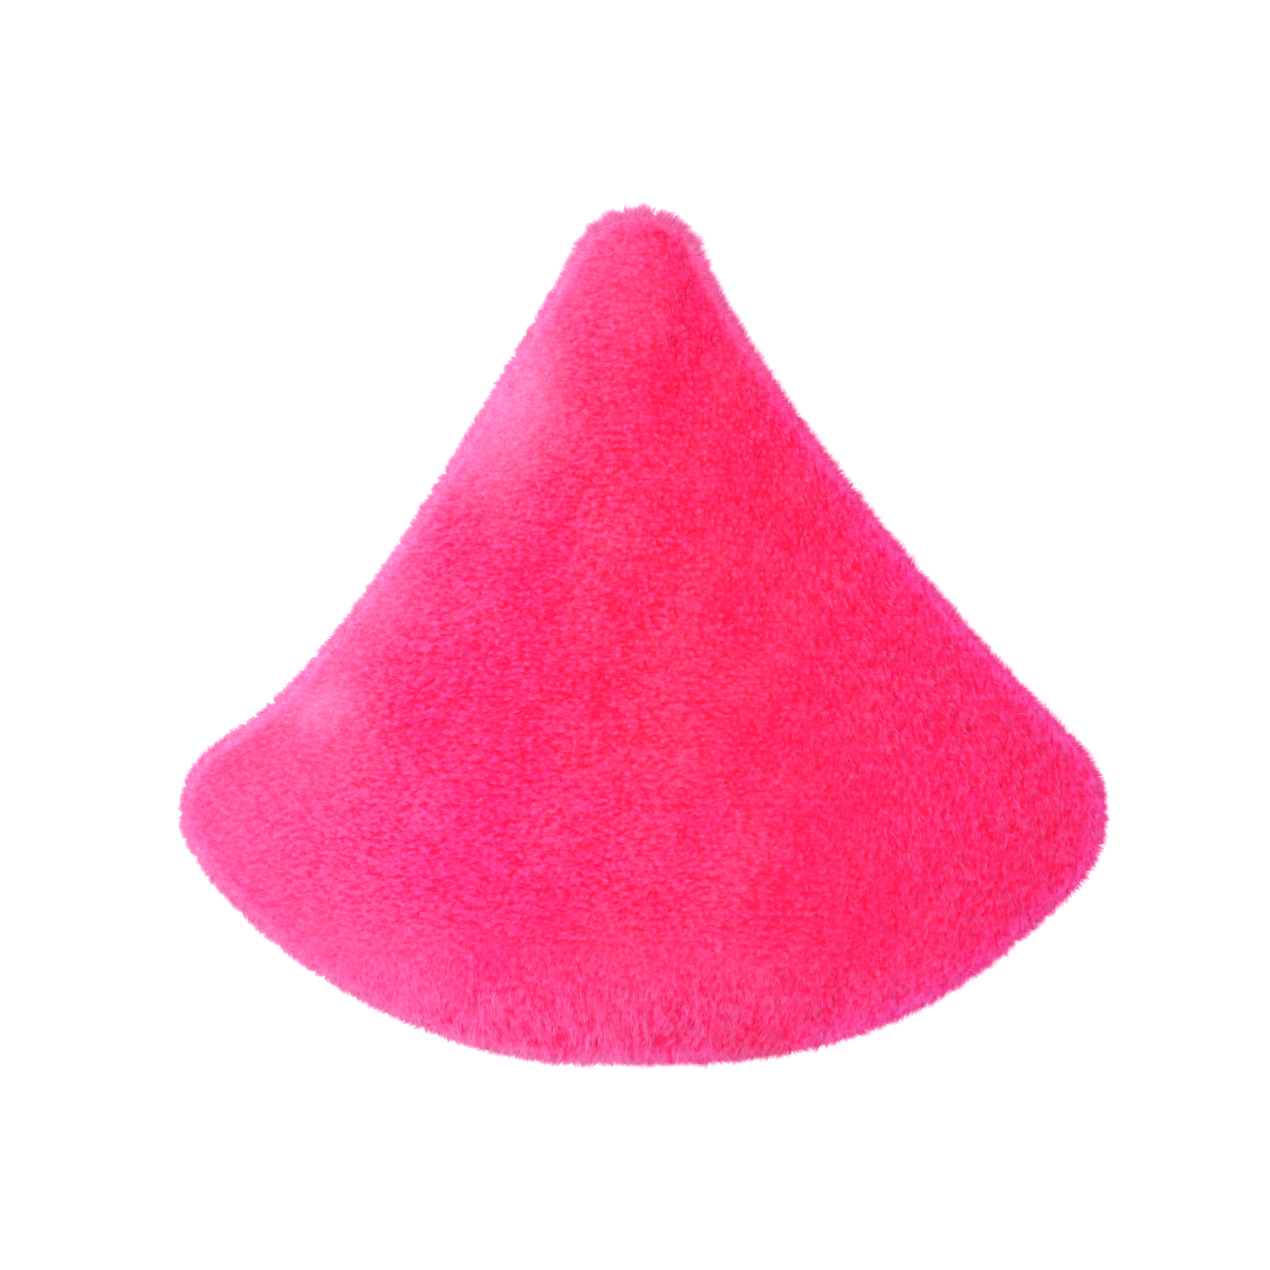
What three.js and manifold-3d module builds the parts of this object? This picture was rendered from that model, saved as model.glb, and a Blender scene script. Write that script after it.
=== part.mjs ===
// Triangular velour powder puff with a satin finger strap, lying face up
// Millimetres: X runs across the puff, Y from its hem to its apex, Z up
// The origin is on the table, under the middle of the puff
import * as THREE from 'three';
import { mergeVertices } from 'three/addons/utils/BufferGeometryUtils.js';
import Module from 'manifold-3d';

const wasm = await Module();
wasm.setup();

// Outline of the pad, seen from the front, with heights measured from the hem
const PAD_WIDTH = 80;
const PAD_LENGTH = 73.6;
const APEX_RADIUS = 5.9;
const APEX_LEAN = 0.4;
const LEFT_CORNER_RADIUS = 7;
const LEFT_CORNER_RISE = 21.7;
const RIGHT_CORNER_RADIUS = 9;
const RIGHT_CORNER_RISE = 21.4;

// Directions of the outward normal where the rounded ends meet the flanks and the hem, in degrees
const APEX_RIGHT_ANGLE = 23;
const APEX_LEFT_ANGLE = 150;
const LEFT_FLANK_ANGLE = 120;
const LEFT_HEM_ANGLE = 214;
const RIGHT_HEM_ANGLE = 315;
const RIGHT_FLANK_ANGLE = 406;

// How far each curve keeps the direction that it starts or ends with
const LEFT_FLANK_TOP_REACH = 21.8;
const LEFT_FLANK_FLARE_REACH = 12.2;
const RIGHT_FLANK_TOP_REACH = 14.7;
const RIGHT_FLANK_FLARE_REACH = 14.5;
const LEFT_HEM_CORNER_REACH = 12.2;
const LEFT_HEM_MIDDLE_REACH = 10.8;
const RIGHT_HEM_MIDDLE_REACH = 16.5;
const RIGHT_HEM_CORNER_REACH = 13.9;

// The straight middle of the hem, either side of the axis
const HEM_FLAT_LEFT = 5.4;
const HEM_FLAT_RIGHT = 1.5;

// Arch of the pad, which the strap pulls into a shallow dome over its three resting corners
const ARCH_DROP = 9;
const ARCH_REACH = 41;
const REST_CUT = 0.5;

// Thickness of the pad, measured from the seam plane
const FRONT_CROWN = 6;
const REAR_CROWN = 2.4;
const PANEL_THICKNESS = 1.4;
const SEAM_GAP = 0.3;
const CLEARANCE = 0.3;

// Rolled edge of the front panel
const FRONT_SHOULDER_INSET = 1.4;
const FRONT_SHOULDER_RISE = 2.9;
const FRONT_EDGE_RISE = 1.3;
const FRONT_LIP_INSET = 1.3;

// Rolled edge of the rear panel, cut a little smaller so that the seam stays behind the front edge
const REAR_SHOULDER_INSET = 1.9;
const REAR_SHOULDER_DROP = 1.9;
const REAR_EDGE_INSET = 0.8;
const REAR_EDGE_DROP = 1;
const REAR_LIP_INSET = 1.5;

// Finger strap, a ribbon across the back with both ends caught in the side seams
const STRAP_WIDTH = 15;
const STRAP_THICKNESS = 0.5;
const STRAP_RISE = 37;
const FINGER_GAP = 6.6;
const STRAP_TAB_INSET = 2;

// Machine seam, hand stitches that close the turning gap, and tacks at the strap's ends
const SEAM_THREAD_DIAMETER = 0.4;
const SEAM_THREAD_INSET = 0.25;
const SEAM_THREAD_DROP = 0.05;
const STITCH_THREAD_DIAMETER = 0.35;
const TURNING_GAP_LEFT = 12;
const TURNING_GAP_RIGHT = 7.5;
const CLOSING_STITCH_PITCH = 1.6;
const CLOSING_FRONT_INSET = 0.1;
const CLOSING_FRONT_RISE = 0.15;
const CLOSING_REAR_INSET = 0.45;
const CLOSING_REAR_DROP = 0.45;
const TACK_PITCH = 1.3;
const TACK_LENGTH = 1.6;
const TACK_INSET = 0.6;
const TACK_MARGIN = 1;

// Shares of the way from the middle of the pad to its shoulder, where the panels have their rings
const panelRingShares = [0.25, 0.48, 0.68, 0.85];
const liningRingShares = [0.45, 0.8];
const CROWN_POWER = 3;

// Shares of the way from the rolled edge to the shoulder and to the lip, where the turns have a ring
const shoulderTurnShares = { inset: 0.3, height: 0.7 };
const lipTurnShares = { inset: 0.4, height: 0.7 };

// Share of its thickness by which the strap's turns round the rear edge are eased
const strapTurnShare = 0.25;

const FACES_PER_CURVE = { apex: 10, flank: 12, corner: 9, hem: 8, flat: 2 };
const THREAD_SIDES = 6;
const ARCH_CENTRE_PASSES = 40;
const STRAP_ROWS = 4;
const STRAP_SPANS = 14;
const STRAP_SAG_POWER = 4;

const PILE = new THREE.MeshStandardMaterial({ color: 0xf9306f, roughness: 0.95, metalness: 0 });
const FOAM = new THREE.MeshStandardMaterial({ color: 0xf6efe6, roughness: 0.9, metalness: 0 });
const SATIN = new THREE.MeshStandardMaterial({ color: 0xf2357c, roughness: 0.4, metalness: 0 });
const THREAD = new THREE.MeshStandardMaterial({ color: 0xe32a6a, roughness: 0.7, metalness: 0 });

// A unit vector at an angle in degrees
function direction(angle) {
  const radians = THREE.MathUtils.degToRad(angle);
  return new THREE.Vector2(Math.cos(radians), Math.sin(radians));
}

// A rounded end of the outline, travelled anticlockwise between two normal directions
function roundEnd(centre, radius, from, to, faces) {
  const start = THREE.MathUtils.degToRad(from);
  const end = THREE.MathUtils.degToRad(to);
  const curve = new THREE.EllipseCurve(centre.x, centre.y, radius, radius, start, end);
  return { curve, faces };
}

// The point of a rounded end whose normal has this angle, and the way of travel there
function tangentPoint(centre, radius, angle) {
  const point = direction(angle).multiplyScalar(radius).add(centre);
  return { point, travel: direction(angle + 90) };
}

// A smooth curve that leaves and reaches its ends along their ways of travel
function sweepCurve(from, fromReach, to, toReach, faces) {
  const first = from.travel.clone().multiplyScalar(fromReach).add(from.point);
  const second = to.travel.clone().multiplyScalar(-toReach).add(to.point);
  return { curve: new THREE.CubicBezierCurve(from.point, first, second, to.point), faces };
}

// Centres of the three rounded ends
const apex = new THREE.Vector2(-APEX_LEAN, PAD_LENGTH - APEX_RADIUS);
const left = new THREE.Vector2(LEFT_CORNER_RADIUS - PAD_WIDTH / 2, LEFT_CORNER_RISE);
const right = new THREE.Vector2(PAD_WIDTH / 2 - RIGHT_CORNER_RADIUS, RIGHT_CORNER_RISE);

// The outline as stations: points in order, anticlockwise, each with its outward normal
function outlineStations() {
  const apexLeft = tangentPoint(apex, APEX_RADIUS, APEX_LEFT_ANGLE);
  const apexRight = tangentPoint(apex, APEX_RADIUS, APEX_RIGHT_ANGLE);
  const leftTop = tangentPoint(left, LEFT_CORNER_RADIUS, LEFT_FLANK_ANGLE);
  const leftFoot = tangentPoint(left, LEFT_CORNER_RADIUS, LEFT_HEM_ANGLE);
  const rightFoot = tangentPoint(right, RIGHT_CORNER_RADIUS, RIGHT_HEM_ANGLE);
  const rightTop = tangentPoint(right, RIGHT_CORNER_RADIUS, RIGHT_FLANK_ANGLE);
  const along = new THREE.Vector2(1, 0);
  const hemLeft = { point: new THREE.Vector2(-HEM_FLAT_LEFT, 0), travel: along };
  const hemRight = { point: new THREE.Vector2(HEM_FLAT_RIGHT, 0), travel: along };
  const count = FACES_PER_CURVE;
  const curves = [
    roundEnd(apex, APEX_RADIUS, APEX_RIGHT_ANGLE, APEX_LEFT_ANGLE, count.apex),
    sweepCurve(apexLeft, LEFT_FLANK_TOP_REACH, leftTop, LEFT_FLANK_FLARE_REACH, count.flank),
    roundEnd(left, LEFT_CORNER_RADIUS, LEFT_FLANK_ANGLE, LEFT_HEM_ANGLE, count.corner),
    sweepCurve(leftFoot, LEFT_HEM_CORNER_REACH, hemLeft, LEFT_HEM_MIDDLE_REACH, count.hem),
    { curve: new THREE.LineCurve(hemLeft.point, hemRight.point), faces: count.flat },
    sweepCurve(hemRight, RIGHT_HEM_MIDDLE_REACH, rightFoot, RIGHT_HEM_CORNER_REACH, count.hem),
    roundEnd(right, RIGHT_CORNER_RADIUS, RIGHT_HEM_ANGLE, RIGHT_FLANK_ANGLE, count.corner),
    sweepCurve(rightTop, RIGHT_FLANK_FLARE_REACH, apexRight, RIGHT_FLANK_TOP_REACH, count.flank),
  ];
  const found = [];
  for (const { curve, faces } of curves) {
    for (let i = 0; i < faces; i += 1) {
      const point = curve.getPointAt(i / faces);
      const travel = curve.getTangentAt(i / faces);
      found.push({ point, normal: new THREE.Vector2(travel.y, -travel.x) });
    }
  }
  return found;
}

// The middle of the arch is as far from the tip of each rounded end, so that all three rest alike
function evenCentre() {
  const ends = [[apex, APEX_RADIUS], [left, LEFT_CORNER_RADIUS], [right, RIGHT_CORNER_RADIUS]];
  const centre = apex.clone().add(left).add(right).divideScalar(ends.length);
  for (let pass = 0; pass < ARCH_CENTRE_PASSES; pass += 1) {
    const reaches = ends.map(([end, radius]) => end.distanceTo(centre) + radius);
    const mean = reaches.reduce((sum, reach) => sum + reach) / ends.length;
    ends.forEach(([end], i) => {
      const towards = end.clone().sub(centre).setLength((reaches[i] - mean) / 2);
      centre.add(towards);
    });
  }
  return centre;
}

const stations = outlineStations();
const archCentre = evenCentre();

// A point of the pad in plan: a share of the way from the middle to the outline moved inward
function planPoint(station, share, inset) {
  const edge = station.normal.clone().multiplyScalar(-inset).add(station.point);
  return edge.sub(archCentre).multiplyScalar(share).add(archCentre);
}

// How far the arch lies below its middle at a point in plan
function archDrop(point) {
  return ARCH_DROP * (point.distanceTo(archCentre) / ARCH_REACH) ** 2;
}

// Heights of the crowned faces over the seam plane, from the shoulder at share 1 to the middle
function frontHeight(share) {
  return FRONT_SHOULDER_RISE + (FRONT_CROWN - FRONT_SHOULDER_RISE) * (1 - share ** CROWN_POWER);
}

function rearHeight(share) {
  return -REAR_SHOULDER_DROP - (REAR_CROWN - REAR_SHOULDER_DROP) * (1 - share ** CROWN_POWER);
}

// The middle of the arch is as high as the corners need, less the depth that is flat on the table
function archRise() {
  const bottoms = stations.map((station) => {
    const foot = planPoint(station, 1, REAR_SHOULDER_INSET);
    return archDrop(foot) + REAR_SHOULDER_DROP;
  });
  return Math.max(...bottoms) - REST_CUT;
}

const middleRise = archRise();

// The height of the seam plane at a point in plan
function seamHeight(point) {
  return middleRise - archDrop(point);
}

// A geometry from points and triangles
function surface(points, triangles) {
  const geometry = new THREE.BufferGeometry();
  geometry.setAttribute('position', new THREE.Float32BufferAttribute(points.flat(), 3));
  geometry.setIndex(triangles.flat());
  return geometry;
}

// The triangles of a strip between two rows of points, which start at a and b
function strip(a, b, count, closed) {
  const triangles = [];
  const last = closed ? count : count - 1;
  for (let i = 0; i < last; i += 1) {
    const next = (i + 1) % count;
    triangles.push([a + i, b + i, b + next], [a + i, b + next, a + next]);
  }
  return triangles;
}

// A body round the middle: each profile entry is a ring at a share, an inset and a height
// The first and last entries are the middle itself
function cushionBody(profile) {
  const points = [];
  const triangles = [];
  const count = stations.length;
  const starts = profile.map(({ share, inset, height }) => {
    const start = points.length;
    const ring = share === 0 ? [stations[0]] : stations;
    for (const station of ring) {
      const plan = planPoint(station, share, inset);
      points.push([plan.x, plan.y, seamHeight(plan) + height]);
    }
    return start;
  });
  const last = profile.length - 1;
  for (let i = 0; i < count; i += 1) {
    const next = (i + 1) % count;
    triangles.push([starts[0], starts[1] + i, starts[1] + next]);
    triangles.push([starts[last], starts[last - 1] + next, starts[last - 1] + i]);
  }
  for (let j = 1; j < last - 1; j += 1) {
    triangles.push(...strip(starts[j], starts[j + 1], count, true));
  }
  return surface(points, triangles);
}

// The rings of a crowned face, outward from the middle, shifted up by lift and moved in by inset
function crownRings(shares, inset, height, lift) {
  return [0, ...shares, 1].map((share) => ({ share, inset, height: height(share) + lift }));
}

function edgeRing(inset, height) {
  return { share: 1, inset, height };
}

// A ring on the turn between the rolled edge and the shoulder or the lip
function turnRing(edge, end, shares) {
  const { lerp } = THREE.MathUtils;
  return edgeRing(lerp(edge.inset, end.inset, shares.inset), lerp(edge.height, end.height, shares.height));
}

// The front panel: crowned face, rolled edge, lip at the seam, and the lining side
function frontPanel() {
  const inner = FRONT_LIP_INSET + PANEL_THICKNESS;
  const shoulder = edgeRing(FRONT_SHOULDER_INSET, FRONT_SHOULDER_RISE);
  const edge = edgeRing(0, FRONT_EDGE_RISE);
  const lip = edgeRing(FRONT_LIP_INSET, SEAM_GAP / 2);
  return cushionBody([
    ...crownRings(panelRingShares, FRONT_SHOULDER_INSET, frontHeight, 0),
    turnRing(edge, shoulder, shoulderTurnShares),
    edge,
    turnRing(edge, lip, lipTurnShares),
    lip,
    edgeRing(inner, lip.height),
    ...crownRings(liningRingShares, inner, frontHeight, -PANEL_THICKNESS).reverse(),
  ]);
}

// The rear panel before it is cut: lining side, lip, rolled edge and the face behind
function rearPanelBlank() {
  const inner = REAR_LIP_INSET + PANEL_THICKNESS;
  const shoulder = edgeRing(REAR_SHOULDER_INSET, -REAR_SHOULDER_DROP);
  const edge = edgeRing(REAR_EDGE_INSET, -REAR_EDGE_DROP);
  const lip = edgeRing(REAR_LIP_INSET, -SEAM_GAP / 2);
  return cushionBody([
    ...crownRings(liningRingShares, inner, rearHeight, PANEL_THICKNESS),
    edgeRing(inner, lip.height),
    lip,
    turnRing(edge, lip, lipTurnShares),
    edge,
    turnRing(edge, shoulder, shoulderTurnShares),
    ...crownRings(panelRingShares, REAR_SHOULDER_INSET, rearHeight, 0).reverse(),
  ]);
}

// The foam core, which fills the hollow between the two panels
function foamCore() {
  const frontInset = FRONT_LIP_INSET + PANEL_THICKNESS + CLEARANCE;
  const rearInset = REAR_LIP_INSET + PANEL_THICKNESS + CLEARANCE;
  const lift = PANEL_THICKNESS + CLEARANCE;
  return cushionBody([
    ...crownRings(liningRingShares, frontInset, frontHeight, -lift),
    ...crownRings(liningRingShares, rearInset, rearHeight, lift).reverse(),
  ]);
}

// A closed body along sections that each hold the same number of points in a loop
function sweptBody(sections) {
  const count = sections[0].length;
  const triangles = [];
  for (let j = 0; j < sections.length - 1; j += 1) {
    triangles.push(...strip(j * count, (j + 1) * count, count, true));
  }
  const end = (sections.length - 1) * count;
  for (let i = 1; i < count - 1; i += 1) {
    triangles.push([0, i, i + 1]);
    triangles.push([end, end + i + 1, end + i]);
  }
  return surface(sections.flat(), triangles);
}

// A point at an inset and a height over the seam plane, beside a station
function besideSeam(station, inset, height) {
  const plan = planPoint(station, 1, inset);
  return [plan.x, plan.y, seamHeight(plan) + height];
}

// The machine seam in the groove between the panels, open only at the turning gap
function seamThread() {
  const radius = SEAM_THREAD_DIAMETER / 2;
  const gapEnd = stations.findIndex(({ point, normal }) => normal.y < 0 && point.x > TURNING_GAP_RIGHT);
  const ordered = [...stations.slice(gapEnd), ...stations.slice(0, gapEnd)];
  const run = ordered.filter(({ point, normal }) => {
    return normal.y > 0 || point.x > TURNING_GAP_RIGHT || point.x < -TURNING_GAP_LEFT;
  });
  return sweptBody(run.map((station) => {
    const section = [];
    for (let i = 0; i < THREAD_SIDES; i += 1) {
      const angle = (i / THREAD_SIDES) * 2 * Math.PI;
      const inset = SEAM_THREAD_INSET - radius * Math.cos(angle);
      section.push(besideSeam(station, inset, radius * Math.sin(angle) - SEAM_THREAD_DROP));
    }
    return section;
  }));
}

// A station between two neighbours of the outline, where pick(point) passes a value
function stationWhere(pick, value, keep) {
  for (let i = 0; i < stations.length; i += 1) {
    const a = stations[i];
    const b = stations[(i + 1) % stations.length];
    const share = (value - pick(a.point)) / (pick(b.point) - pick(a.point));
    if (keep(a.normal) && share >= 0 && share <= 1) {
      const normal = a.normal.clone().lerp(b.normal, share);
      return { point: a.point.clone().lerp(b.point, share), normal };
    }
  }
  throw new Error('the outline does not pass there');
}

function hemStation(x) {
  return stationWhere((point) => point.x, x, (normal) => normal.y < 0);
}

function flankStation(y, side) {
  return stationWhere((point) => point.y, y, (normal) => normal.x * side > 0);
}

// A round thread along a list of points
function threadAlong(points, diameter) {
  const path = new THREE.CatmullRomCurve3(points.map(([x, y, z]) => new THREE.Vector3(x, y, z)));
  const section = new THREE.Shape();
  section.absarc(0, 0, diameter / 2, 0, 2 * Math.PI);
  const steps = 2 * (points.length - 1);
  const settings = { steps, extrudePath: path, curveSegments: THREAD_SIDES / 2 };
  return new THREE.ExtrudeGeometry(section, settings);
}

// Hand stitches that cross the seam to and fro and close the turning gap in the hem
function closingStitches() {
  const from = SEAM_THREAD_DIAMETER - TURNING_GAP_LEFT;
  const length = TURNING_GAP_RIGHT - SEAM_THREAD_DIAMETER - from;
  const crossings = 2 * Math.round(length / CLOSING_STITCH_PITCH);
  const points = [];
  for (let i = 0; i <= crossings; i += 1) {
    const station = hemStation(from + (length * i) / crossings);
    if (i % 2) {
      points.push(besideSeam(station, CLOSING_REAR_INSET, -CLOSING_REAR_DROP));
    } else {
      points.push(besideSeam(station, CLOSING_FRONT_INSET, CLOSING_FRONT_RISE));
    }
  }
  return threadAlong(points, STITCH_THREAD_DIAMETER);
}

// One end of the strap's middle surface: in at the seam, round the rear edge and out under the pad
function strapEnd(y, side, spare) {
  const station = flankStation(y, side);
  const wrap = CLEARANCE + STRAP_THICKNESS / 2;
  const tabDrop = wrap - SEAM_GAP / 2;
  const underDrop = REAR_SHOULDER_DROP + wrap;
  const outer = REAR_EDGE_INSET - wrap;
  const ease = STRAP_THICKNESS * strapTurnShare;
  const steps = [
    [STRAP_TAB_INSET + spare, tabDrop],
    [REAR_LIP_INSET, tabDrop],
    [REAR_EDGE_INSET, tabDrop + STRAP_THICKNESS / 2],
    [outer + ease, REAR_EDGE_DROP],
    [outer, (REAR_EDGE_DROP + underDrop) / 2],
    [REAR_EDGE_INSET, underDrop - ease],
    [REAR_SHOULDER_INSET, underDrop],
  ];
  return steps.map(([inset, drop]) => {
    const x = station.point.x - inset / station.normal.x;
    const height = seamHeight(new THREE.Vector2(x, y)) - drop;
    return new THREE.Vector3(x, y, height);
  });
}

// The strap's middle surface across the whole back at one distance from the hem
function strapLine(y, spare) {
  const left = strapEnd(y, -1, spare);
  const right = strapEnd(y, 1, spare).reverse();
  const from = left[left.length - 1];
  const to = right[0];
  const low = middleRise - REAR_CROWN - FINGER_GAP - STRAP_THICKNESS / 2;
  const middle = [];
  for (let i = 1; i < STRAP_SPANS; i += 1) {
    const point = from.clone().lerp(to, i / STRAP_SPANS);
    const away = Math.abs((2 * i) / STRAP_SPANS - 1) ** STRAP_SAG_POWER;
    point.z = THREE.MathUtils.lerp(low, point.z, away);
    middle.push(point);
  }
  return [...left, ...middle, ...right];
}

// A ribbon of even thickness over rows of points, as a closed body
function ribbonBody(rows, thickness) {
  const across = rows.length;
  const along = rows[0].length;
  const faces = [[], []];
  for (let j = 0; j < across; j += 1) {
    for (let i = 0; i < along; i += 1) {
      const ahead = rows[j][Math.min(i + 1, along - 1)].clone().sub(rows[j][Math.max(i - 1, 0)]);
      const aside = rows[Math.min(j + 1, across - 1)][i].clone().sub(rows[Math.max(j - 1, 0)][i]);
      const normal = ahead.cross(aside).normalize().multiplyScalar(thickness / 2);
      faces[0].push(rows[j][i].clone().add(normal).toArray());
      faces[1].push(rows[j][i].clone().sub(normal).toArray());
    }
  }
  const under = across * along;
  const triangles = [];
  for (let j = 0; j < across - 1; j += 1) {
    triangles.push(...strip((j + 1) * along, j * along, along, false));
    triangles.push(...strip(under + j * along, under + (j + 1) * along, along, false));
  }
  const lastRow = (across - 1) * along;
  triangles.push(...strip(0, under, along, false));
  triangles.push(...strip(under + lastRow, lastRow, along, false));
  for (let j = 0; j < across - 1; j += 1) {
    const a = j * along;
    const b = a + along;
    triangles.push([a, b, under + b], [a, under + b, under + a]);
    const c = a + along - 1;
    const d = b + along - 1;
    triangles.push([d, c, under + c], [d, under + c, under + d]);
  }
  return surface([...faces[0], ...faces[1]], triangles);
}

// Rows of the strap's middle surface, from the one nearest the hem to the one nearest the apex
function strapRows(width, spare) {
  const rows = [];
  for (let j = 0; j <= STRAP_ROWS; j += 1) {
    rows.push(strapLine(STRAP_RISE + width * (j / STRAP_ROWS - 1 / 2), spare));
  }
  return rows;
}

// The strap, or with spare the slightly larger slot that it needs in the seam
function strapBody(spare) {
  return ribbonBody(strapRows(STRAP_WIDTH + 2 * spare, spare), STRAP_THICKNESS + 2 * spare);
}

// Where the strap leaves one edge of the pad, at a share of its width, with its way inward and its normal
function strapLeave(rows, share, side) {
  const row = Math.min(Math.floor(share * STRAP_ROWS), STRAP_ROWS - 1);
  const ends = strapEnd(STRAP_RISE, side, 0).length;
  const first = side < 0 ? ends - 1 : rows[row].length - ends;
  const between = (i) => rows[row][i].clone().lerp(rows[row + 1][i], share * STRAP_ROWS - row);
  const from = between(first);
  const inward = between(first - side).sub(from).normalize();
  const aside = rows[row + 1][first].clone().sub(rows[row][first]);
  return { from, inward, normal: inward.clone().cross(aside).multiplyScalar(side).normalize() };
}

// Reinforcing stitches to and fro on one end of the strap, just inside the seam
function strapTack(side) {
  const rows = strapRows(STRAP_WIDTH, 0);
  const span = STRAP_WIDTH - 2 * TACK_MARGIN;
  const crossings = 2 * Math.round(span / TACK_PITCH);
  const lift = STRAP_THICKNESS / 2 + CLEARANCE + STITCH_THREAD_DIAMETER / 2;
  const points = [];
  for (let i = 0; i <= crossings; i += 1) {
    const share = (TACK_MARGIN + (span * i) / crossings) / STRAP_WIDTH;
    const { from, inward, normal } = strapLeave(rows, share, side);
    const along = TACK_INSET + (i % 2 ? TACK_LENGTH : 0);
    points.push(from.addScaledVector(inward, along).addScaledVector(normal, lift).toArray());
  }
  return threadAlong(points, STITCH_THREAD_DIAMETER);
}

// A closed geometry as a solid that can be cut
function solid(geometry) {
  const bare = geometry.clone();
  bare.deleteAttribute('normal');
  bare.deleteAttribute('uv');
  const merged = mergeVertices(bare);
  const vertProperties = Float32Array.from(merged.attributes.position.array);
  const triVerts = Uint32Array.from(merged.index.array);
  return new wasm.Manifold(new wasm.Mesh({ numProp: 3, vertProperties, triVerts }));
}

// A cut solid as a geometry again
function geometryOf(cut) {
  const { vertProperties, triVerts } = cut.getMesh();
  const geometry = new THREE.BufferGeometry();
  geometry.setAttribute('position', new THREE.BufferAttribute(vertProperties, 3));
  geometry.setIndex(new THREE.BufferAttribute(triVerts, 1));
  return geometry;
}

// The rear panel, with slots for the strap in its lip and flats where its corners rest
function rearPanel() {
  const table = new THREE.BoxGeometry(2 * PAD_WIDTH, 4 * PAD_LENGTH, PAD_LENGTH);
  table.translate(0, 0, -PAD_LENGTH / 2);
  return geometryOf(solid(rearPanelBlank()).subtract(solid(strapBody(CLEARANCE))).subtract(solid(table)));
}

function part(name, geometry, material) {
  geometry.computeVertexNormals();
  const mesh = new THREE.Mesh(geometry, material.clone());
  mesh.name = name;
  return mesh;
}

const pad = new THREE.Group();
pad.add(part('front_panel', frontPanel(), PILE));
pad.add(part('rear_panel', rearPanel(), PILE));
pad.add(part('foam_core', foamCore(), FOAM));
pad.add(part('finger_strap', strapBody(0), SATIN));
pad.add(part('seam_thread', seamThread(), THREAD));
pad.add(part('closing_stitches', closingStitches(), THREAD));
pad.add(part('strap_tack_left', strapTack(-1), THREAD));
pad.add(part('strap_tack_right', strapTack(1), THREAD));
pad.position.y = -PAD_LENGTH / 2;

const puff = new THREE.Group();
puff.add(pad);

export default puff;
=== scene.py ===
import math
from collections import namedtuple
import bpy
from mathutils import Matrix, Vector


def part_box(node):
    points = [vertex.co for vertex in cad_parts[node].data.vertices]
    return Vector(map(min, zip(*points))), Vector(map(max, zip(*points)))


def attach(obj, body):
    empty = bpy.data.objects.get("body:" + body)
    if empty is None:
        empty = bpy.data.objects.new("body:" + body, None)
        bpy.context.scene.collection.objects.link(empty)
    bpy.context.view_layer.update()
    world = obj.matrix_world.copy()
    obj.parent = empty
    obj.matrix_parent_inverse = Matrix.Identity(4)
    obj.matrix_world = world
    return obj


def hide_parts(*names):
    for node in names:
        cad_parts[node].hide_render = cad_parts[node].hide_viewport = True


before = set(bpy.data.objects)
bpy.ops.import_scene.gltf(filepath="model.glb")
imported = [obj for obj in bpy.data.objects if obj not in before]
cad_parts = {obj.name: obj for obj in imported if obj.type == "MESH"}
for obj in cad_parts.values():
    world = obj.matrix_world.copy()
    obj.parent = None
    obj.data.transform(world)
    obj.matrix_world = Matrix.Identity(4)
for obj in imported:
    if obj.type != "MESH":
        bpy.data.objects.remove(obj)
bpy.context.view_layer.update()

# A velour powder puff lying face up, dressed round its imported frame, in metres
from types import SimpleNamespace

import bpy
import numpy as np
from mathutils import Vector, kdtree

X, Y, Z = 0, 1, 2

# Outline of the pad, seen from the front, with heights measured from the hem
PAD_WIDTH = 0.080
PAD_LENGTH = 0.0736
APEX_RADIUS = 0.0059
APEX_LEAN = 0.0004
LEFT_CORNER_RADIUS = 0.007
LEFT_CORNER_RISE = 0.0217
RIGHT_CORNER_RADIUS = 0.009
RIGHT_CORNER_RISE = 0.0214

# Directions of the outward normal where the rounded ends meet the flanks and the hem, in degrees
APEX_RIGHT_ANGLE = 23
APEX_LEFT_ANGLE = 150
LEFT_FLANK_ANGLE = 120
LEFT_HEM_ANGLE = 214
RIGHT_HEM_ANGLE = 315
RIGHT_FLANK_ANGLE = 406

# How far each curve keeps the directions that it starts and ends with, and the ends of the straight hem
LEFT_FLANK_REACHES = (0.0218, 0.0122)
LEFT_HEM_REACHES = (0.0122, 0.0108)
RIGHT_HEM_REACHES = (0.0165, 0.0139)
RIGHT_FLANK_REACHES = (0.0145, 0.0147)
HEM_FLAT = (-0.0054, 0.0015)

# Arch of the pad over its three resting corners, and its thickness from the seam plane
ARCH_DROP = 0.009
ARCH_REACH = 0.041
FRONT_CROWN = 0.006
REAR_CROWN = 0.0024
PANEL_THICKNESS = 0.0014
CROWN_POWER = 3

# Sections of the panels: insets from the outline and heights from the seam plane.
# The covers meet at the pile lip, deep in the pile, and the lip ends the panel's inner face.
Panel = namedtuple("Panel", "shoulder edge lip pile_lip top up")
FRONT = Panel((0.0014, 0.0029), (0.0, 0.0013), (0.0013, 0.00015), (0.0013, 0.0001), FRONT_CROWN, 1)
REAR = Panel((0.0019, -0.0019), (0.0008, -0.001), (0.0015, -0.00015), (0.0016, -0.0001), -REAR_CROWN, -1)

# Finger strap
STRAP_WIDTH = 0.015
STRAP_THICKNESS = 0.0005
STRAP_RISE = 0.037
FINGER_GAP = 0.0066
STRAP_TAB_INSET = 0.0026
STRAP_WRAP_INSET = 0.00085
STRAP_SAG_POWER = 4
CLEARANCE = 0.0003

# Points along the outline, and steps of each of its curves
STATIONS = 480
CURVE_STEPS = 400


def direction(angle):
    """A unit vector at an angle in degrees."""
    return np.array([math.cos(math.radians(angle)), math.sin(math.radians(angle))])


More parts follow.
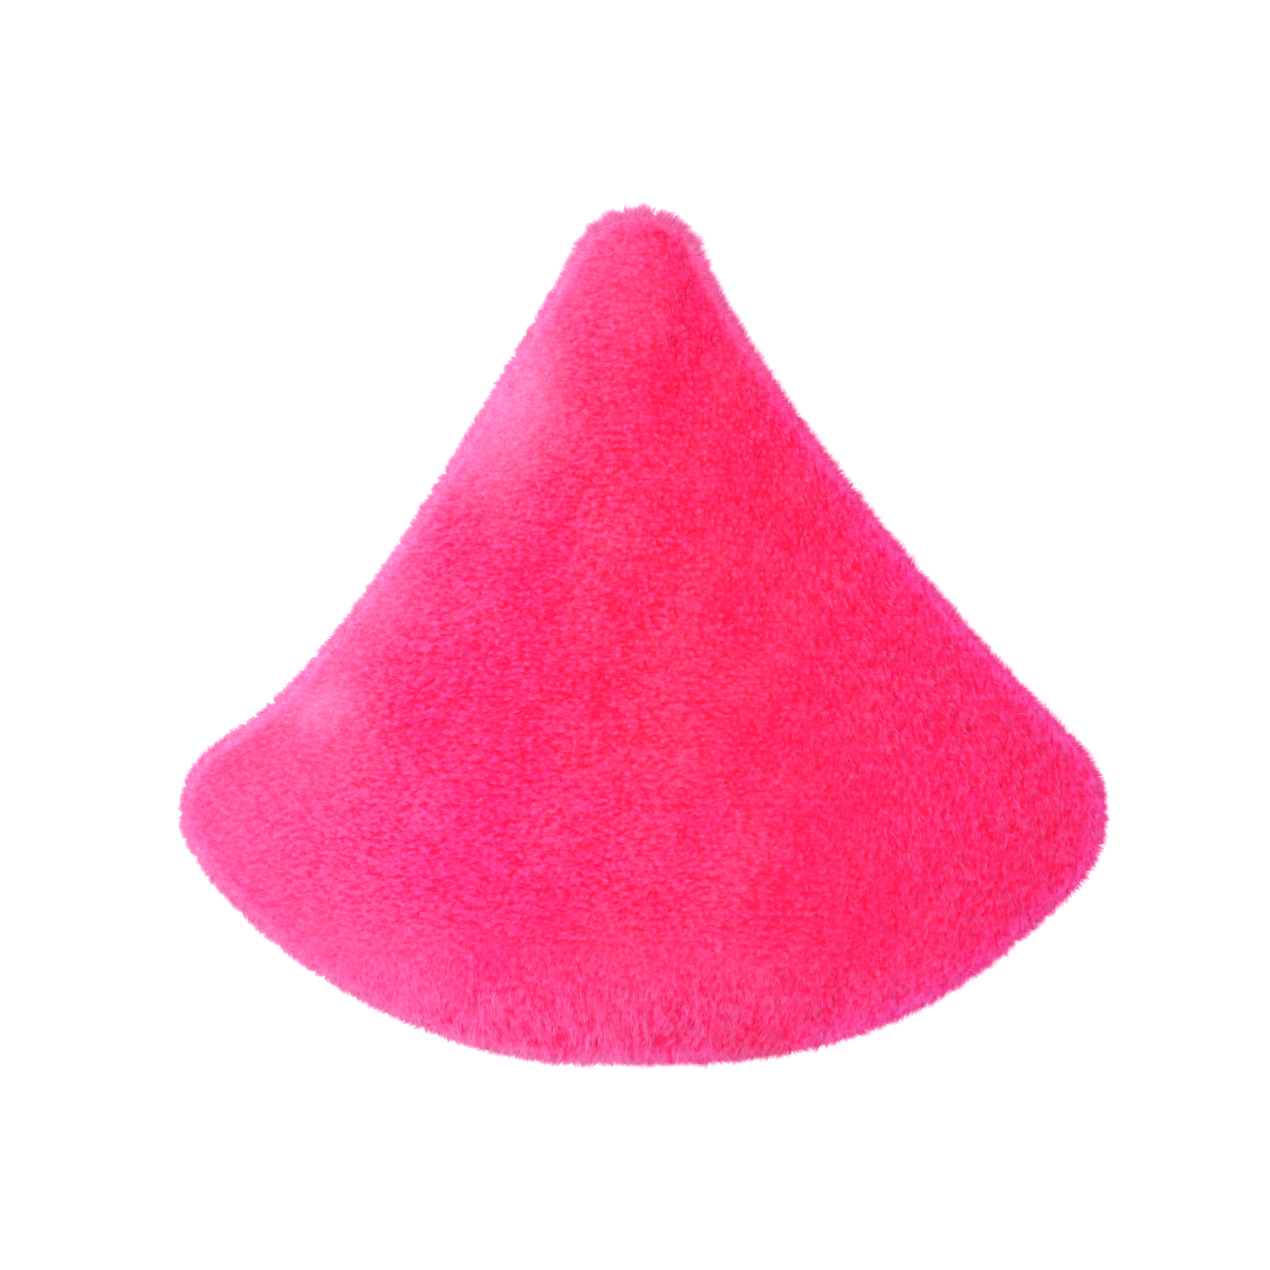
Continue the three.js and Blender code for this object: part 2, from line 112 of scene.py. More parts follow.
def unit(vectors):
    return vectors / np.maximum(np.linalg.norm(vectors, axis=-1), 1e-12)[..., None]


def turned_from(first, second, angles):
    """The way at an angle from a first way towards a second one, for each angle."""
    return np.cos(angles)[..., None] * first + np.sin(angles)[..., None] * second


def steps_of(line):
    """The distances between the points of a line."""
    return np.linalg.norm(np.diff(line, axis=0), axis=1)


def evenly(line, count, endpoint=True):
    """Points at even steps along a line."""
    run = np.concatenate([[0], np.cumsum(steps_of(line))])
    at = np.linspace(0, run[-1], count, endpoint=endpoint)
    return np.stack([np.interp(at, run, column) for column in line.T], 1)


def rounded_end(centre, radius, start, end):
    angles = np.radians(np.linspace(start, end, CURVE_STEPS, endpoint=False))
    return centre + radius * np.stack([np.cos(angles), np.sin(angles)], 1)


def sweep(start, end, reaches=(0, 0)):
    """A smooth curve that leaves and reaches its ends along their ways of travel."""
    t = np.linspace(0, 1, CURVE_STEPS, endpoint=False)[:, None]
    first = start[0] + start[1] * reaches[0]
    second = end[0] - end[1] * reaches[1]
    near_start = (1 - t) ** 3 * start[0] + 3 * (1 - t) ** 2 * t * first
    return near_start + 3 * (1 - t) * t**2 * second + t**3 * end[0]


apex = np.array([-APEX_LEAN, PAD_LENGTH / 2 - APEX_RADIUS])
left = np.array([LEFT_CORNER_RADIUS - PAD_WIDTH / 2, LEFT_CORNER_RISE - PAD_LENGTH / 2])
right = np.array([PAD_WIDTH / 2 - RIGHT_CORNER_RADIUS, RIGHT_CORNER_RISE - PAD_LENGTH / 2])
ends = [
    (apex, APEX_RADIUS, APEX_RIGHT_ANGLE, APEX_LEFT_ANGLE),
    (left, LEFT_CORNER_RADIUS, LEFT_FLANK_ANGLE, LEFT_HEM_ANGLE),
    (right, RIGHT_CORNER_RADIUS, RIGHT_HEM_ANGLE, RIGHT_FLANK_ANGLE),
]


def even_centre():
    """The middle of the arch, as far from the tip of each rounded end."""
    centre = sum(end for end, *_ in ends) / len(ends)
    for _ in range(CURVE_STEPS):
        reaches = [np.linalg.norm(end - centre) + radius for end, radius, *_ in ends]
        mean = sum(reaches) / len(ends)
        for (end, *_), reach in zip(ends, reaches):
            way = end - centre
            centre = centre + way / np.linalg.norm(way) * (reach - mean) / 2
    return centre


def tangents(centre, radius, *angles):
    """The points of a rounded end at its two angles, and the ways of travel there."""
    return [(centre + radius * direction(angle), direction(angle + 90)) for angle in angles]


def outline():
    """Evenly spaced points of the outline, anticlockwise, and their outward normals."""
    apex_right, apex_left = tangents(*ends[0])
    left_top, left_foot = tangents(*ends[1])
    right_foot, right_top = tangents(*ends[2])
    hem_left, hem_right = ((np.array([x, -PAD_LENGTH / 2]), direction(0)) for x in HEM_FLAT)
    line = np.concatenate([
        rounded_end(*ends[0]),
        sweep(apex_left, left_top, LEFT_FLANK_REACHES),
        rounded_end(*ends[1]),
        sweep(left_foot, hem_left, LEFT_HEM_REACHES),
        sweep(hem_left, hem_right),
        sweep(hem_right, right_foot, RIGHT_HEM_REACHES),
        rounded_end(*ends[2]),
        sweep(right_top, apex_right, RIGHT_FLANK_REACHES),
    ])
    points = evenly(np.vstack([line, line[:1]]), STATIONS, endpoint=False)
    travel = unit(np.roll(points, -1, 0) - np.roll(points, 1, 0))
    return points, np.stack([travel[:, Y], -travel[:, X]], 1)


points, normals = outline()
arch_centre = even_centre()
middle_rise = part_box("front_panel")[1].z - FRONT_CROWN


def seam_height(plan):
    """The height of the seam plane at points in plan."""
    away = np.linalg.norm(plan - arch_centre, axis=-1)
    return middle_rise - ARCH_DROP * (away / ARCH_REACH) ** 2


def smooth(low, high, x):
    """0 below low, 1 above high, and a smooth step between."""
    t = np.clip((x - low) / (high - low), 0, 1)
    return t * t * (3 - 2 * t)


WAVES = 9
WAVE_SPREAD = (0.6, 1.4)


def wander(places, gain, size, seed):
    """A smooth random field of about -gain to gain whose swells are about size apart."""
    rng = np.random.default_rng(seed)
    total = np.zeros(len(places))
    for _ in range(WAVES):
        way = rng.normal(size=places.shape[1])
        way *= 2 * math.pi / size * rng.uniform(*WAVE_SPREAD) / np.linalg.norm(way)
        total += np.sin(places @ way + rng.uniform(0, 2 * math.pi))
    return gain * (total / math.sqrt(WAVES))


# Hollows of the front face: place in plan, radius and depth
HOLLOWS = [
    ((-0.0125, 0.0168), 0.0048, 0.0006),
    ((-0.0290, -0.0055), 0.0042, 0.0006),
    ((-0.0175, 0.0040), 0.0050, 0.0003),
    ((0.0085, -0.0340), 0.0040, 0.0005),
    ((0.0120, 0.0030), 0.0080, 0.0003),
]
SWELL = (0.00022, 0.022, 3)
SWELL_END = (0.9, 1.0)


def front_swell(plan):
    """How far the soft front face stands above its plain crown."""
    rise = wander(plan, *SWELL)
    for place, radius, depth in HOLLOWS:
        rise -= depth * np.exp(-np.sum((plan - place) ** 2, axis=1) / radius**2)
    return rise


# Rings of the panels' meshes, from the middle out. Each has its share of the way out to the edge,
# its inset, its height from the seam plane, and its normal as parts outward and up.
CROWN_RINGS = 134
CROWN_RING_POWER = 0.92
CROWN_END_ANGLE = 0.22
TURN_RINGS = 12
LINING_RINGS = 10
WIDEST_RING = 1020
WIDEST_LINING_RING = 160


def crown(share, shoulder, top):
    return shoulder + (top - shoulder) * (1 - share**CROWN_POWER)


def turn(edge, end, start):
    """Rings round a rolled edge, from the end to the edge as a quarter round."""
    rings = []
    for angle in np.linspace(start, math.pi / 2, TURN_RINGS):
        inset = end[0] + (edge[0] - end[0]) * math.sin(angle)
        height = edge[1] + (end[1] - edge[1]) * math.cos(angle)
        up = math.cos(angle) * np.sign(end[1] - edge[1])
        rings.append((1.0, inset, height, math.sin(angle), up))
    return rings


def profile(panel):
    """Rings from the middle over the shoulder and the edge to the lip."""
    inset, height = panel.shoulder
    shares = np.linspace(0, 1, CROWN_RINGS) ** CROWN_RING_POWER
    rings = [(share, inset, crown(share, height, panel.top), 0, panel.up) for share in shares]
    rings += turn(panel.edge, panel.shoulder, CROWN_END_ANGLE)
    rings += turn(panel.edge, panel.pile_lip, 0)[::-1][1:]
    return rings


def lining(panel, extra):
    """Rings of a panel's inner face, or with extra of the core's face that lies inside it."""
    inset = panel.lip[0] + PANEL_THICKNESS + extra
    drop = panel.up * (PANEL_THICKNESS + extra)
    height = panel.shoulder[1]
    shares = np.linspace(0, 1, LINING_RINGS)
    return [(share, inset, crown(share, height, panel.top) - drop, 0, panel.up) for share in shares]


def sheet_of(rings, depths, swell=None):
    """The surface of a profile, depth below its face, as rings of places."""
    grid = []
    for (share, inset, height, out, up), depth in zip(rings, depths):
        edge = points - normals * (inset + out * np.reshape(depth, (-1, 1)))
        plan = arch_centre + share * (edge - arch_centre)
        z = seam_height(plan) + height - up * depth
        if swell is not None:
            z = z + swell(plan) * (1 - smooth(*SWELL_END, share)) * up
        grid.append(np.column_stack([plan, z]))
    return np.array(grid)


def border_of(rings):
    """The outward way in plan and the distance in from the outline, at each point of a ring grid."""
    grid = []
    for share, inset, *_ in rings:
        reach = np.sum((points - normals * inset - arch_centre) * normals, axis=1)
        grid.append(np.column_stack([normals, inset + (1 - share) * reach]))
    return np.array(grid)


# How far the mass of the tufts lies under the panels' outer faces, and how the strap presses it:
# from one share of the way out to another, with a soft border along the ribbon
PILE_DEPTH = 0.00032
PRESSED_DEPTH = 0.0004
PRESS_BAND = (0.86, 0.96)
PRESS_BORDER = 0.0008


def lip_fade(rings):
    """1 over the face of a panel, and down to 0 at its lip."""
    lip = TURN_RINGS - 1
    fade = np.ones((len(rings), 1))
    fade[-lip:, 0] = np.linspace(1, 0, lip + 1)[1:]
    return fade


def press_of(rings, pressed, most):
    """How far the strap presses on each point of a ring grid."""
    share = np.array([ring[0] for ring in rings])[:, None]
    return most * smooth(*PRESS_BAND, share) * np.reshape(pressed, (1, -1))


def depths_of(rings, pressed):
    """How far the pile lies in from the panel's face: nothing at the lip, and more under the strap."""
    return lip_fade(rings) * (PILE_DEPTH + press_of(rings, pressed, PRESSED_DEPTH))


def calm_of(rings, pressed):
    """How much of the tufts' relief shows: none at the lip or under the strap."""
    return lip_fade(rings) * (1 - press_of(rings, pressed, 1)) * np.ones((1, STATIONS))


# Meshes


def quads(rows, columns, start):
    """Faces between rows of a grid whose columns close on themselves."""
    a = np.arange(rows - 1)[:, None] * columns
    i = np.arange(columns)[None, :]
    j = (i + 1) % columns
    return np.stack([a + i, a + columns + i, a + columns + j, a + j], -1).reshape(-1, 4) + start


def linked(name, data):
    made = bpy.data.objects.new(name, data)
    bpy.context.scene.collection.objects.link(made)
    return made


def mesh_object(name, places, faces, smooth_faces=True):
    """A piece from places and lists of faces with equal counts of corners."""
    mesh = bpy.data.meshes.new(name)
    corners = np.concatenate([np.asarray(f).reshape(-1) for f in faces]).astype(np.int32)
    counts = np.concatenate([np.full(len(f), np.asarray(f).shape[1]) for f in faces])
    starts = np.concatenate([[0], np.cumsum(counts)[:-1]]).astype(np.int32)
    mesh.vertices.add(len(places))
    mesh.vertices.foreach_set("co", np.asarray(places, np.float32).reshape(-1))
    mesh.loops.add(len(corners))
    mesh.loops.foreach_set("vertex_index", corners)
    mesh.polygons.add(len(counts))
    mesh.polygons.foreach_set("loop_start", starts)
    mesh.polygons.foreach_set("use_smooth", np.full(len(counts), smooth_faces))
    mesh.update(calc_edges=True)
    mesh.validate()
    return linked(name, mesh)


def keep_values(piece, **values):
    """Stores one number for each point of a piece under each name, for its material."""
    for name, numbers in values.items():
        layer = piece.data.attributes.new(name, "FLOAT", "POINT")
        layer.data.foreach_set("value", np.asarray(numbers, np.float32))


def stitch(inner, inner_count, outer, outer_count):
    """Triangles between two rings of points, the outer one with as many points or more."""
    i = np.arange(outer_count)
    nearest = ((2 * i + 1) * inner_count + outer_count) // (2 * outer_count)
    before = np.concatenate([[nearest[-1] - inner_count], nearest[:-1]])
    here = nearest % inner_count
    there = before % inner_count
    moved = here != there
    wide = np.stack([outer + i, outer + (i + 1) % outer_count, inner + here], 1)
    narrow = np.stack([outer + i, inner + here, inner + there], 1)[moved]
    return np.concatenate([wide, narrow])


def ring_values(ring, count):
    """Values of an even ring, taken again at another count of points."""
    at = np.arange(count) / count * len(ring)
    low = at.astype(int)
    part = (at - low)[:, None]
    return ring[low % len(ring)] * (1 - part) + ring[(low + 1) % len(ring)] * part


def even_mesh(values, rings, widest, start=0):
    """Points of a ring grid with counts that grow with the rings, their triangles and the last ring."""
    counts = [max(1, round(ring[0] * widest)) for ring in rings]
    firsts = start + np.concatenate([[0], np.cumsum(counts)])
    taken = np.concatenate([ring_values(ring, count) for ring, count in zip(values, counts)])
    faces = [stitch(firsts[k], counts[k], firsts[k + 1], counts[k + 1]) for k in range(len(counts) - 1)]
    return taken, np.concatenate(faces), (firsts[-2], counts[-1])


def grid_normals(grid, outward):
    """Normals of a ring grid that face away from the pad."""
    ahead = np.roll(grid, -1, 1) - np.roll(grid, 1, 1)
    down = np.gradient(grid, axis=0)
    found = unit(np.cross(down, ahead)) * outward
    found[0] = (0, 0, outward)
    return found


def tree_of(places):
    tree = kdtree.KDTree(len(places))
    for i, place in enumerate(places):
        tree.insert(place, i)
    tree.balance()
    return tree


def thin_out(places, spacing):
    """Which places to keep, so that they lie at least a spacing apart."""
    tree = tree_of(places)
    gone = np.zeros(len(places), bool)
    kept = []
    for i, place in enumerate(places):
        if not gone[i]:
            kept.append(i)
            for _, j, _ in tree.find_range(place, spacing):
                gone[j] = True
    return np.array(kept)


def scattered(places, triangles, per_area, rng):
    """Random places on a mesh, as the corners of their triangles and the weights of these."""
    a, b, c = (places[triangles[:, k]] for k in range(3))
    areas = np.linalg.norm(np.cross(b - a, c - a), axis=1) / 2
    count = int(areas.sum() * per_area)
    chosen = rng.choice(len(triangles), count, p=areas / areas.sum())
    u, v = rng.random((2, count))
    over = u + v > 1
    u[over], v[over] = 1 - u[over], 1 - v[over]
    return triangles[chosen], np.stack([1 - u - v, u, v], 1)


def weighed(values, corners, weights):
    return np.einsum("ij,ij...->i...", weights, values[corners])


# Materials

# The factor and colour sockets of a mix node, among those for other types
MIX_INPUTS = (0, 6, 7)
MIX_RESULT = 2
WHITE = (1.0, 1.0, 1.0)


class Finish:
    """A material in the making, with short ways to add to its nodes."""

    def __init__(self, name, **fixed):
        self.material = bpy.data.materials.new(name)
        self.material.use_nodes = True
        self.tree = self.material.node_tree
        self.shader = self.tree.nodes["Principled BSDF"]
        for socket, value in fixed.items():
            self.feed(self.shader.inputs[socket.replace("_", " ")], value)
        self.place = self.add("TexCoord").outputs["Object"]

    def feed(self, socket, value):
        """Links a socket to another, or gives it a fixed value. A colour gets its alpha here."""
        if isinstance(value, bpy.types.NodeSocket):
            self.tree.links.new(value, socket)
        elif socket.type == "RGBA":
            socket.default_value = (*value, 1)
        else:
            socket.default_value = value

    def add(self, kind, **inputs):
        """A new node with its inputs linked or set."""
        node = self.tree.nodes.new("ShaderNode" + kind)
        for name, value in inputs.items():
            self.feed(node.inputs[name], value)
        return node

    def stretched(self, scale):
        """The object's own coordinates, scaled along each axis."""
        return self.add("Mapping", Vector=self.place, Scale=scale).outputs["Vector"]

    def noise(self, place, scale):
        return self.add("TexNoise", Vector=place, Scale=scale, Detail=2.0, Roughness=0.55).outputs["Fac"]

    def ramp(self, factor, stops):
        """A colour that follows a factor through stops, each a factor and a colour."""
        node = self.add("ValToRGB", Fac=factor)
        elements = node.color_ramp.elements
        while len(elements) < len(stops):
            elements.new(0.5)
        for element, (at, colour) in zip(elements, stops):
            element.position = at
            element.color = (*colour, 1)
        return node.outputs["Color"]

    def grey_ramp(self, factor, stops):
        return self.ramp(factor, [(at, (grey, grey, grey)) for at, grey in stops])

    def mix(self, factor, first, second, blend="MIX"):
        node = self.add("Mix")
        node.data_type = "RGBA"
        node.blend_type = blend
        for socket, value in zip(MIX_INPUTS, (factor, first, second)):
            self.feed(node.inputs[socket], value)
        return node.outputs[MIX_RESULT]

    def value(self, name):
        """A number that a piece keeps for each of its points."""
        node = self.add("Attribute")
        node.attribute_name = name
        return node.outputs["Fac"]

    def bump(self, height, distance, strength=0.6):
        node = self.add("Bump", Height=height, Distance=distance, Strength=strength)
        self.feed(self.shader.inputs["Normal"], node.outputs["Normal"])

    def coloured(self, colour):
        """The finished material, with its colour."""
        self.feed(self.shader.inputs["Base Color"], colour)
        return self.material


# Velour: the colours along a fibre, deeper red towards the root as painted shade deep in the pile, the
# pale pink of painted sheen, and the magenta of painted sheen at the pad's edge
FIBRE_COLOURS = [
    (0.0, (0.93, 0.003, 0.055)),
    (0.35, (0.89, 0.008, 0.098)),
    (0.75, (0.80, 0.028, 0.160)),
    (1.0, (0.77, 0.080, 0.300)),
]
SHEEN_PINK = (0.82, 0.290, 0.570)
SHEEN_MAGENTA = (0.91, 0.055, 0.450)

# Painted shade of the partings between tufts, with painted highlight at the bright end, and how much the
# painted pale sheen calms them
PARTING_PAINTED_SHADE = [(0.36, (1.0, 0.14, 0.44)), (0.465, (1.0, 0.80, 0.90)), (0.61, (1.0, 1.75, 1.34))]
PARTINGS_ACROSS = (0.55, 1.0, 1.0)
PARTINGS_DOWN = (1.0, 0.45, 1.0)
PARTING_CALM = [(0.04, 0.0), (0.20, 0.60), (0.5, 0.88)]
CALM_SHADE = (1.0, 0.93, 0.97)


def parting_shade(finish, stretch):
    """A painted shade that darkens the small gaps between tufts, longer one way than the other, and
    lightens other places as painted highlight.
    """
    return finish.ramp(finish.noise(finish.stretched(stretch), scale=2400.0), PARTING_PAINTED_SHADE)


def pile_material():
    """Velour fibre: deeper red at the root as painted shade and pink at the tip, with painted pale and
    magenta sheen, and small partings of painted shade along its lay.
    """
    finish = Finish("velour_pile", Roughness=0.8, Specular_IOR_Level=0.12,
                    Sheen_Weight=0.45, Sheen_Roughness=0.35, Sheen_Tint=(1.0, 0.15, 0.70))
    along = finish.ramp(finish.value("along"), FIBRE_COLOURS)
    magenta = finish.mix(finish.value("edge"), along, SHEEN_MAGENTA)
    pale = finish.mix(finish.value("nap"), magenta, SHEEN_PINK)
    across = parting_shade(finish, PARTINGS_ACROSS)
    down = parting_shade(finish, PARTINGS_DOWN)
    gap_shade = finish.mix(finish.value("lay"), across, down)
    calm = finish.grey_ramp(finish.value("nap"), PARTING_CALM)
    soft_gap_shade = finish.mix(calm, gap_shade, CALM_SHADE)
    return finish.coloured(finish.mix(1.0, pale, soft_gap_shade, "MULTIPLY"))


FOAM_COLOURS = [(0.05, (0.93, 0.88, 0.78)), (0.55, (0.72, 0.66, 0.55))]


def foam_material():
    """Open-cell foam."""
    finish = Finish("foam", Roughness=0.9, Specular_IOR_Level=0.2)
    cells = finish.add("TexVoronoi", Vector=finish.place, Scale=1400.0).outputs["Distance"]
    finish.bump(cells, distance=0.0003)
    return finish.coloured(finish.ramp(cells, FOAM_COLOURS))


WARP_STRETCH = (0.12, 1.0, 0.12)
WARP_COLOURS = [(0.3, (0.86, 0.03, 0.17)), (0.7, (0.98, 0.085, 0.30))]
WARP_HEIGHTS = [(0.3, 0.0), (0.7, 1.0)]


def satin_material():
    """Satin ribbon: fine warp threads along its length, with a soft cross rib."""
    finish = Finish("satin_ribbon", Roughness=0.38, Specular_IOR_Level=0.55,
                    Sheen_Weight=0.25, Sheen_Roughness=0.3, Sheen_Tint=(1.0, 0.6, 0.8))
    warp = finish.noise(finish.stretched(WARP_STRETCH), scale=5200.0)
    rib = finish.add("TexWave", Vector=finish.place, Scale=900.0, Distortion=0.6)
    rib.bands_direction = "X"
    weave = finish.mix(0.5, rib.outputs["Color"], finish.grey_ramp(warp, WARP_HEIGHTS))
    finish.bump(weave, distance=0.00006, strength=0.5)
    return finish.coloured(finish.ramp(warp, WARP_COLOURS))


THREAD_COLOURS = [(0.3, (0.62, 0.008, 0.075)), (0.7, (0.90, 0.04, 0.20))]


def thread_material():
    """Polyester sewing thread with its fine fibres."""
    finish = Finish("sewing_thread", Roughness=0.5, Specular_IOR_Level=0.4, Sheen_Weight=0.3)
    fibres = finish.noise(finish.place, scale=4200.0)
    finish.bump(fibres, distance=0.00004)
    return finish.coloured(finish.ramp(fibres, THREAD_COLOURS))


def floor_material():
    """A white floor that glows a little, so that it stays white round the pad."""
    finish = Finish("studio_floor", Roughness=0.9, Specular_IOR_Level=0.1,
                    Emission_Strength=0.56, Emission_Color=WHITE)
    return finish.coloured((0.95, 0.95, 0.95))


VELOUR_PILE = pile_material()
FOAM = foam_material()
SATIN = satin_material()
THREAD = thread_material()


def dress(piece, material, slot, *nodes):
    """Gives a piece its material and body, and hides the CAD nodes that it stands for. Its slot is not
    used.
    """
    piece.data.materials.append(material)
    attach(piece, "root")
    if nodes:
        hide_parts(*nodes)
    return piece


# How the nap is brushed over the pad. A band is an axis, and the places along it where an effect
# starts and is full.
SOUTH_SLOPE = 0.25
SOUTH_START, SOUTH_FULL = -0.002, 0.024
SOUTH_HEM_BAND = (Y, -0.022, -0.0325)
WEST_WAY = np.array([-1.0, -0.12])
SOUTH_SLANT = 0.15
HEM_SLANT = (0.55, (Y, -0.005, -0.025), (X, -0.010, 0.006))
EDGE_BRUSH = 1.4
SWIRLS = [(0.5, 0.007, 21), (0.4, 0.0022, 22)]
SOUTH_CALM = 0.5
LEAN = 0.70
SOUTH_LEAN = 0.20
LEAN_WANDER = (0.15, 0.004, 23)
LEAN_LIMITS = (0.2, 1.15)


def wash(plan, strength, *bands):
    """A strength that fades in over each of its bands."""
    for axis, start, full in bands:
        strength = strength * smooth(start, full, plan[:, axis])
    return strength


def to_south(plan):
    """How far the nap is brushed towards the hem instead of to the left: on the right and by the hem."""
    right_side = smooth(SOUTH_START, SOUTH_FULL, plan[:, X] + SOUTH_SLOPE * plan[:, Y])
    return np.maximum(right_side, wash(plan, 1, SOUTH_HEM_BAND))


def turned_by(ways, angles):
    cos, sin = np.cos(angles), np.sin(angles)
    return np.stack([ways[:, X] * cos - ways[:, Y] * sin, ways[:, X] * sin + ways[:, Y] * cos], 1)


def brushed(plan, edge_way, edge_share):
    """The way in plan that the nap is brushed at each place, and how far it leans, in radians."""
    south = np.column_stack([SOUTH_SLANT - wash(plan, *HEM_SLANT), -np.ones(len(plan))])
    southward = to_south(plan)
    way = WEST_WAY * (1 - southward[:, None]) + south * southward[:, None]
    way = way * (1 - edge_share[:, None]) + edge_way * edge_share[:, None] * EDGE_BRUSH
    swirl = sum(wander(plan, *swirl) for swirl in SWIRLS) * (1 - SOUTH_CALM * southward)
    lean = LEAN + SOUTH_LEAN * southward + wander(plan, *LEAN_WANDER)
    return unit(turned_by(way, swirl)), np.clip(lean, *LEAN_LIMITS)


# Patches of painted pale sheen, highlights on the front: place in plan, radii along X and Y, and strength
SHEEN_PATCHES = [
    ((-0.0130, 0.0185), (0.0046, 0.0070), 0.46),
    ((-0.0283, -0.0061), (0.0032, 0.0026), 0.39),
    ((-0.0262, -0.0010), (0.0030, 0.0045), 0.22),
    ((-0.0095, 0.0225), (0.0034, 0.0045), 0.24),
    ((-0.0220, 0.0045), (0.0042, 0.0055), 0.26),
    ((-0.0080, 0.0330), (0.0030, 0.0040), 0.12),
    ((-0.0020, 0.0295), (0.0035, 0.0045), 0.09),
    ((-0.0260, -0.0280), (0.0075, 0.0060), 0.19),
    ((-0.0180, -0.0340), (0.0100, 0.0040), 0.16),
]
PATCH_INSET = 0.0015
PATCH_RIM_LOSS = 0.8

# Washes of painted pale sheen and of painted magenta sheen over the pad: strengths and bands
SHEEN_WASHES = [
    (0.04, (X, 0.016, 0.004), (X, -0.010, -0.003), (Y, 0.018, 0.008)),
    (0.03, (X, 0.006, -0.001), (Y, 0.010, 0.018)),
    (0.03, (Y, -0.022, -0.032)),
]
FAR_RIGHT = (X, 0.010, 0.026)
MAGENTA_SHEEN_WASHES = [
    (0.11, (Y, -0.008, -0.018), (X, 0.020, 0.004)),
    (0.17, (Y, -0.024, -0.034)),
    (0.07, (Y, 0.020, 0.034)),
    (0.10, FAR_RIGHT),
]

# The painted pale sheen also spreads in from a point of the left flank, and lies along the rim, most on
# the left
LEFT_FLANK_PLACE = np.array([-0.0205, 0.0151])
LEFT_FLANK_WAY_IN = direction(-32.3)
FLANK_SHEEN = 0.21
FLANK_REACH = 0.009
LOW_FLANK_REACH = (0.014, (Y, -0.003, -0.012))
RIM_SHEEN = 0.15
LEFT_RIM_SHEEN = 0.45
RIM_FADE = 0.0009
SHEEN_WANDER = (0.02, 0.009, 31)
LEFT_START, LEFT_FULL = 0.012, -0.010
LEFT_SLOPE = 0.25

# Painted magenta sheen along the edge and on the left, and less of it in a deeper spot by the hem
EDGE_FADE = 0.00095
LEFT_EDGE_LOSS = 0.55
LEFT_MAGENTA_SHEEN = 0.16
LEFT_MAGENTA_START, LEFT_MAGENTA_FULL = 0.002, -0.020
LEFT_MAGENTA_SLOPE = 0.1
HEM_SPOT = ((0.0100, -0.0348), (0.0036, 0.0017))
HEM_SPOT_LOSS = 0.8


def spot(plan, place, radii):
    """1 at a place in plan, fading to 0 over its radii."""
    return np.exp(-np.sum(((plan - place) / radii) ** 2, axis=1))


def to_left(plan):
    """How far the painted pale sheen shows along the edge: on the left and round the apex."""
    return smooth(LEFT_START, LEFT_FULL, plan[:, X] - LEFT_SLOPE * np.maximum(plan[:, Y], 0))


def nap_of(plan, from_edge):
    """How much painted pale sheen shows, from 0 to 1: more towards the left and its rim."""
    reach = FLANK_REACH + wash(plan, *LOW_FLANK_REACH)
    value = FLANK_SHEEN * smooth(reach, 0, (plan - LEFT_FLANK_PLACE) @ LEFT_FLANK_WAY_IN)
    for row in SHEEN_WASHES:
        value += wash(plan, *row)
    value += (RIM_SHEEN + LEFT_RIM_SHEEN * to_left(plan)) * np.exp(-((from_edge / RIM_FADE) ** 2))
    off_rim = 1 - PATCH_RIM_LOSS * np.exp(-((from_edge / PATCH_INSET) ** 2))
    for place, radii, strength in SHEEN_PATCHES:
        value += strength * off_rim * spot(plan, place, radii)
    return np.clip(value + wander(plan, *SHEEN_WANDER), 0, 1)


def edge_sheen_of(plan, from_edge):
    """How much painted magenta sheen the pile shows, from 0 to 1: along the edge, over the hem and all
    round the middle.
    """
    value = np.exp(-from_edge / EDGE_FADE) * (1.0 - LEFT_EDGE_LOSS * to_left(plan))
    leftward = plan[:, X] - LEFT_MAGENTA_SLOPE * plan[:, Y]
    value += LEFT_MAGENTA_SHEEN * smooth(LEFT_MAGENTA_START, LEFT_MAGENTA_FULL, leftward)
    for row in MAGENTA_SHEEN_WASHES:
        value += wash(plan, *row)
    return np.clip(value * (1 - HEM_SPOT_LOSS * spot(plan, *HEM_SPOT)), 0, 1)


# Tufts: their spacing, their domes and the creases between them
TUFT_SPACING = 0.0005
SEEDS_PER_AREA = 7 / TUFT_SPACING**2
TUFT_REACH = 0.00042
TUFT_DOME = 0.00017
TUFT_FALL = 0.7
TUFT_HEIGHTS = (0.6, 1.2)
TUFT_STRETCH = 1.4
CREASE_WIDTH = 0.00017
CREASE_DEPTH = 0.00021
CREASE_LEAST = 0.2
CREASE_BAND = (-0.7, 1.0)
CREASE_SIZE = 0.0013
ROW_PITCH = 0.00074
ROW_PULL = 0.4
SHIFT = 0.00009
SHIFT_SIZE = 0.0011
TURN_WANDER = (0.25, 0.004)
TURN_BLEND = 0.12

# Where along a fibre's colours the skin lies: at the foot of a tuft, and how far domes and creases take it
# from there. Creases go deeper red as painted shade, and domes pinker as painted highlight
SKIN_FOOT = 0.30
SKIN_DOME = 0.52
SKIN_CREASE = 0.95

# What is added to a seed for each of its random fields
SHIFT_SEED = 40
CREASE_SEED = 50
TURN_SEED = 60
STREAK_SEED = 70


def tuft_seeds(places, triangles, rng):
    """The middles of the tufts: evenly scattered, and drawn part of the way into rows."""
    corners, weights = scattered(places, triangles, SEEDS_PER_AREA, rng)
    seeds = weighed(places, corners, weights)
    seeds = seeds[thin_out(seeds, TUFT_SPACING)]
    rows = np.round(seeds[:, Y] / ROW_PITCH) * ROW_PITCH
    seeds[:, Y] += ROW_PULL * (rows - seeds[:, Y])
    return seeds


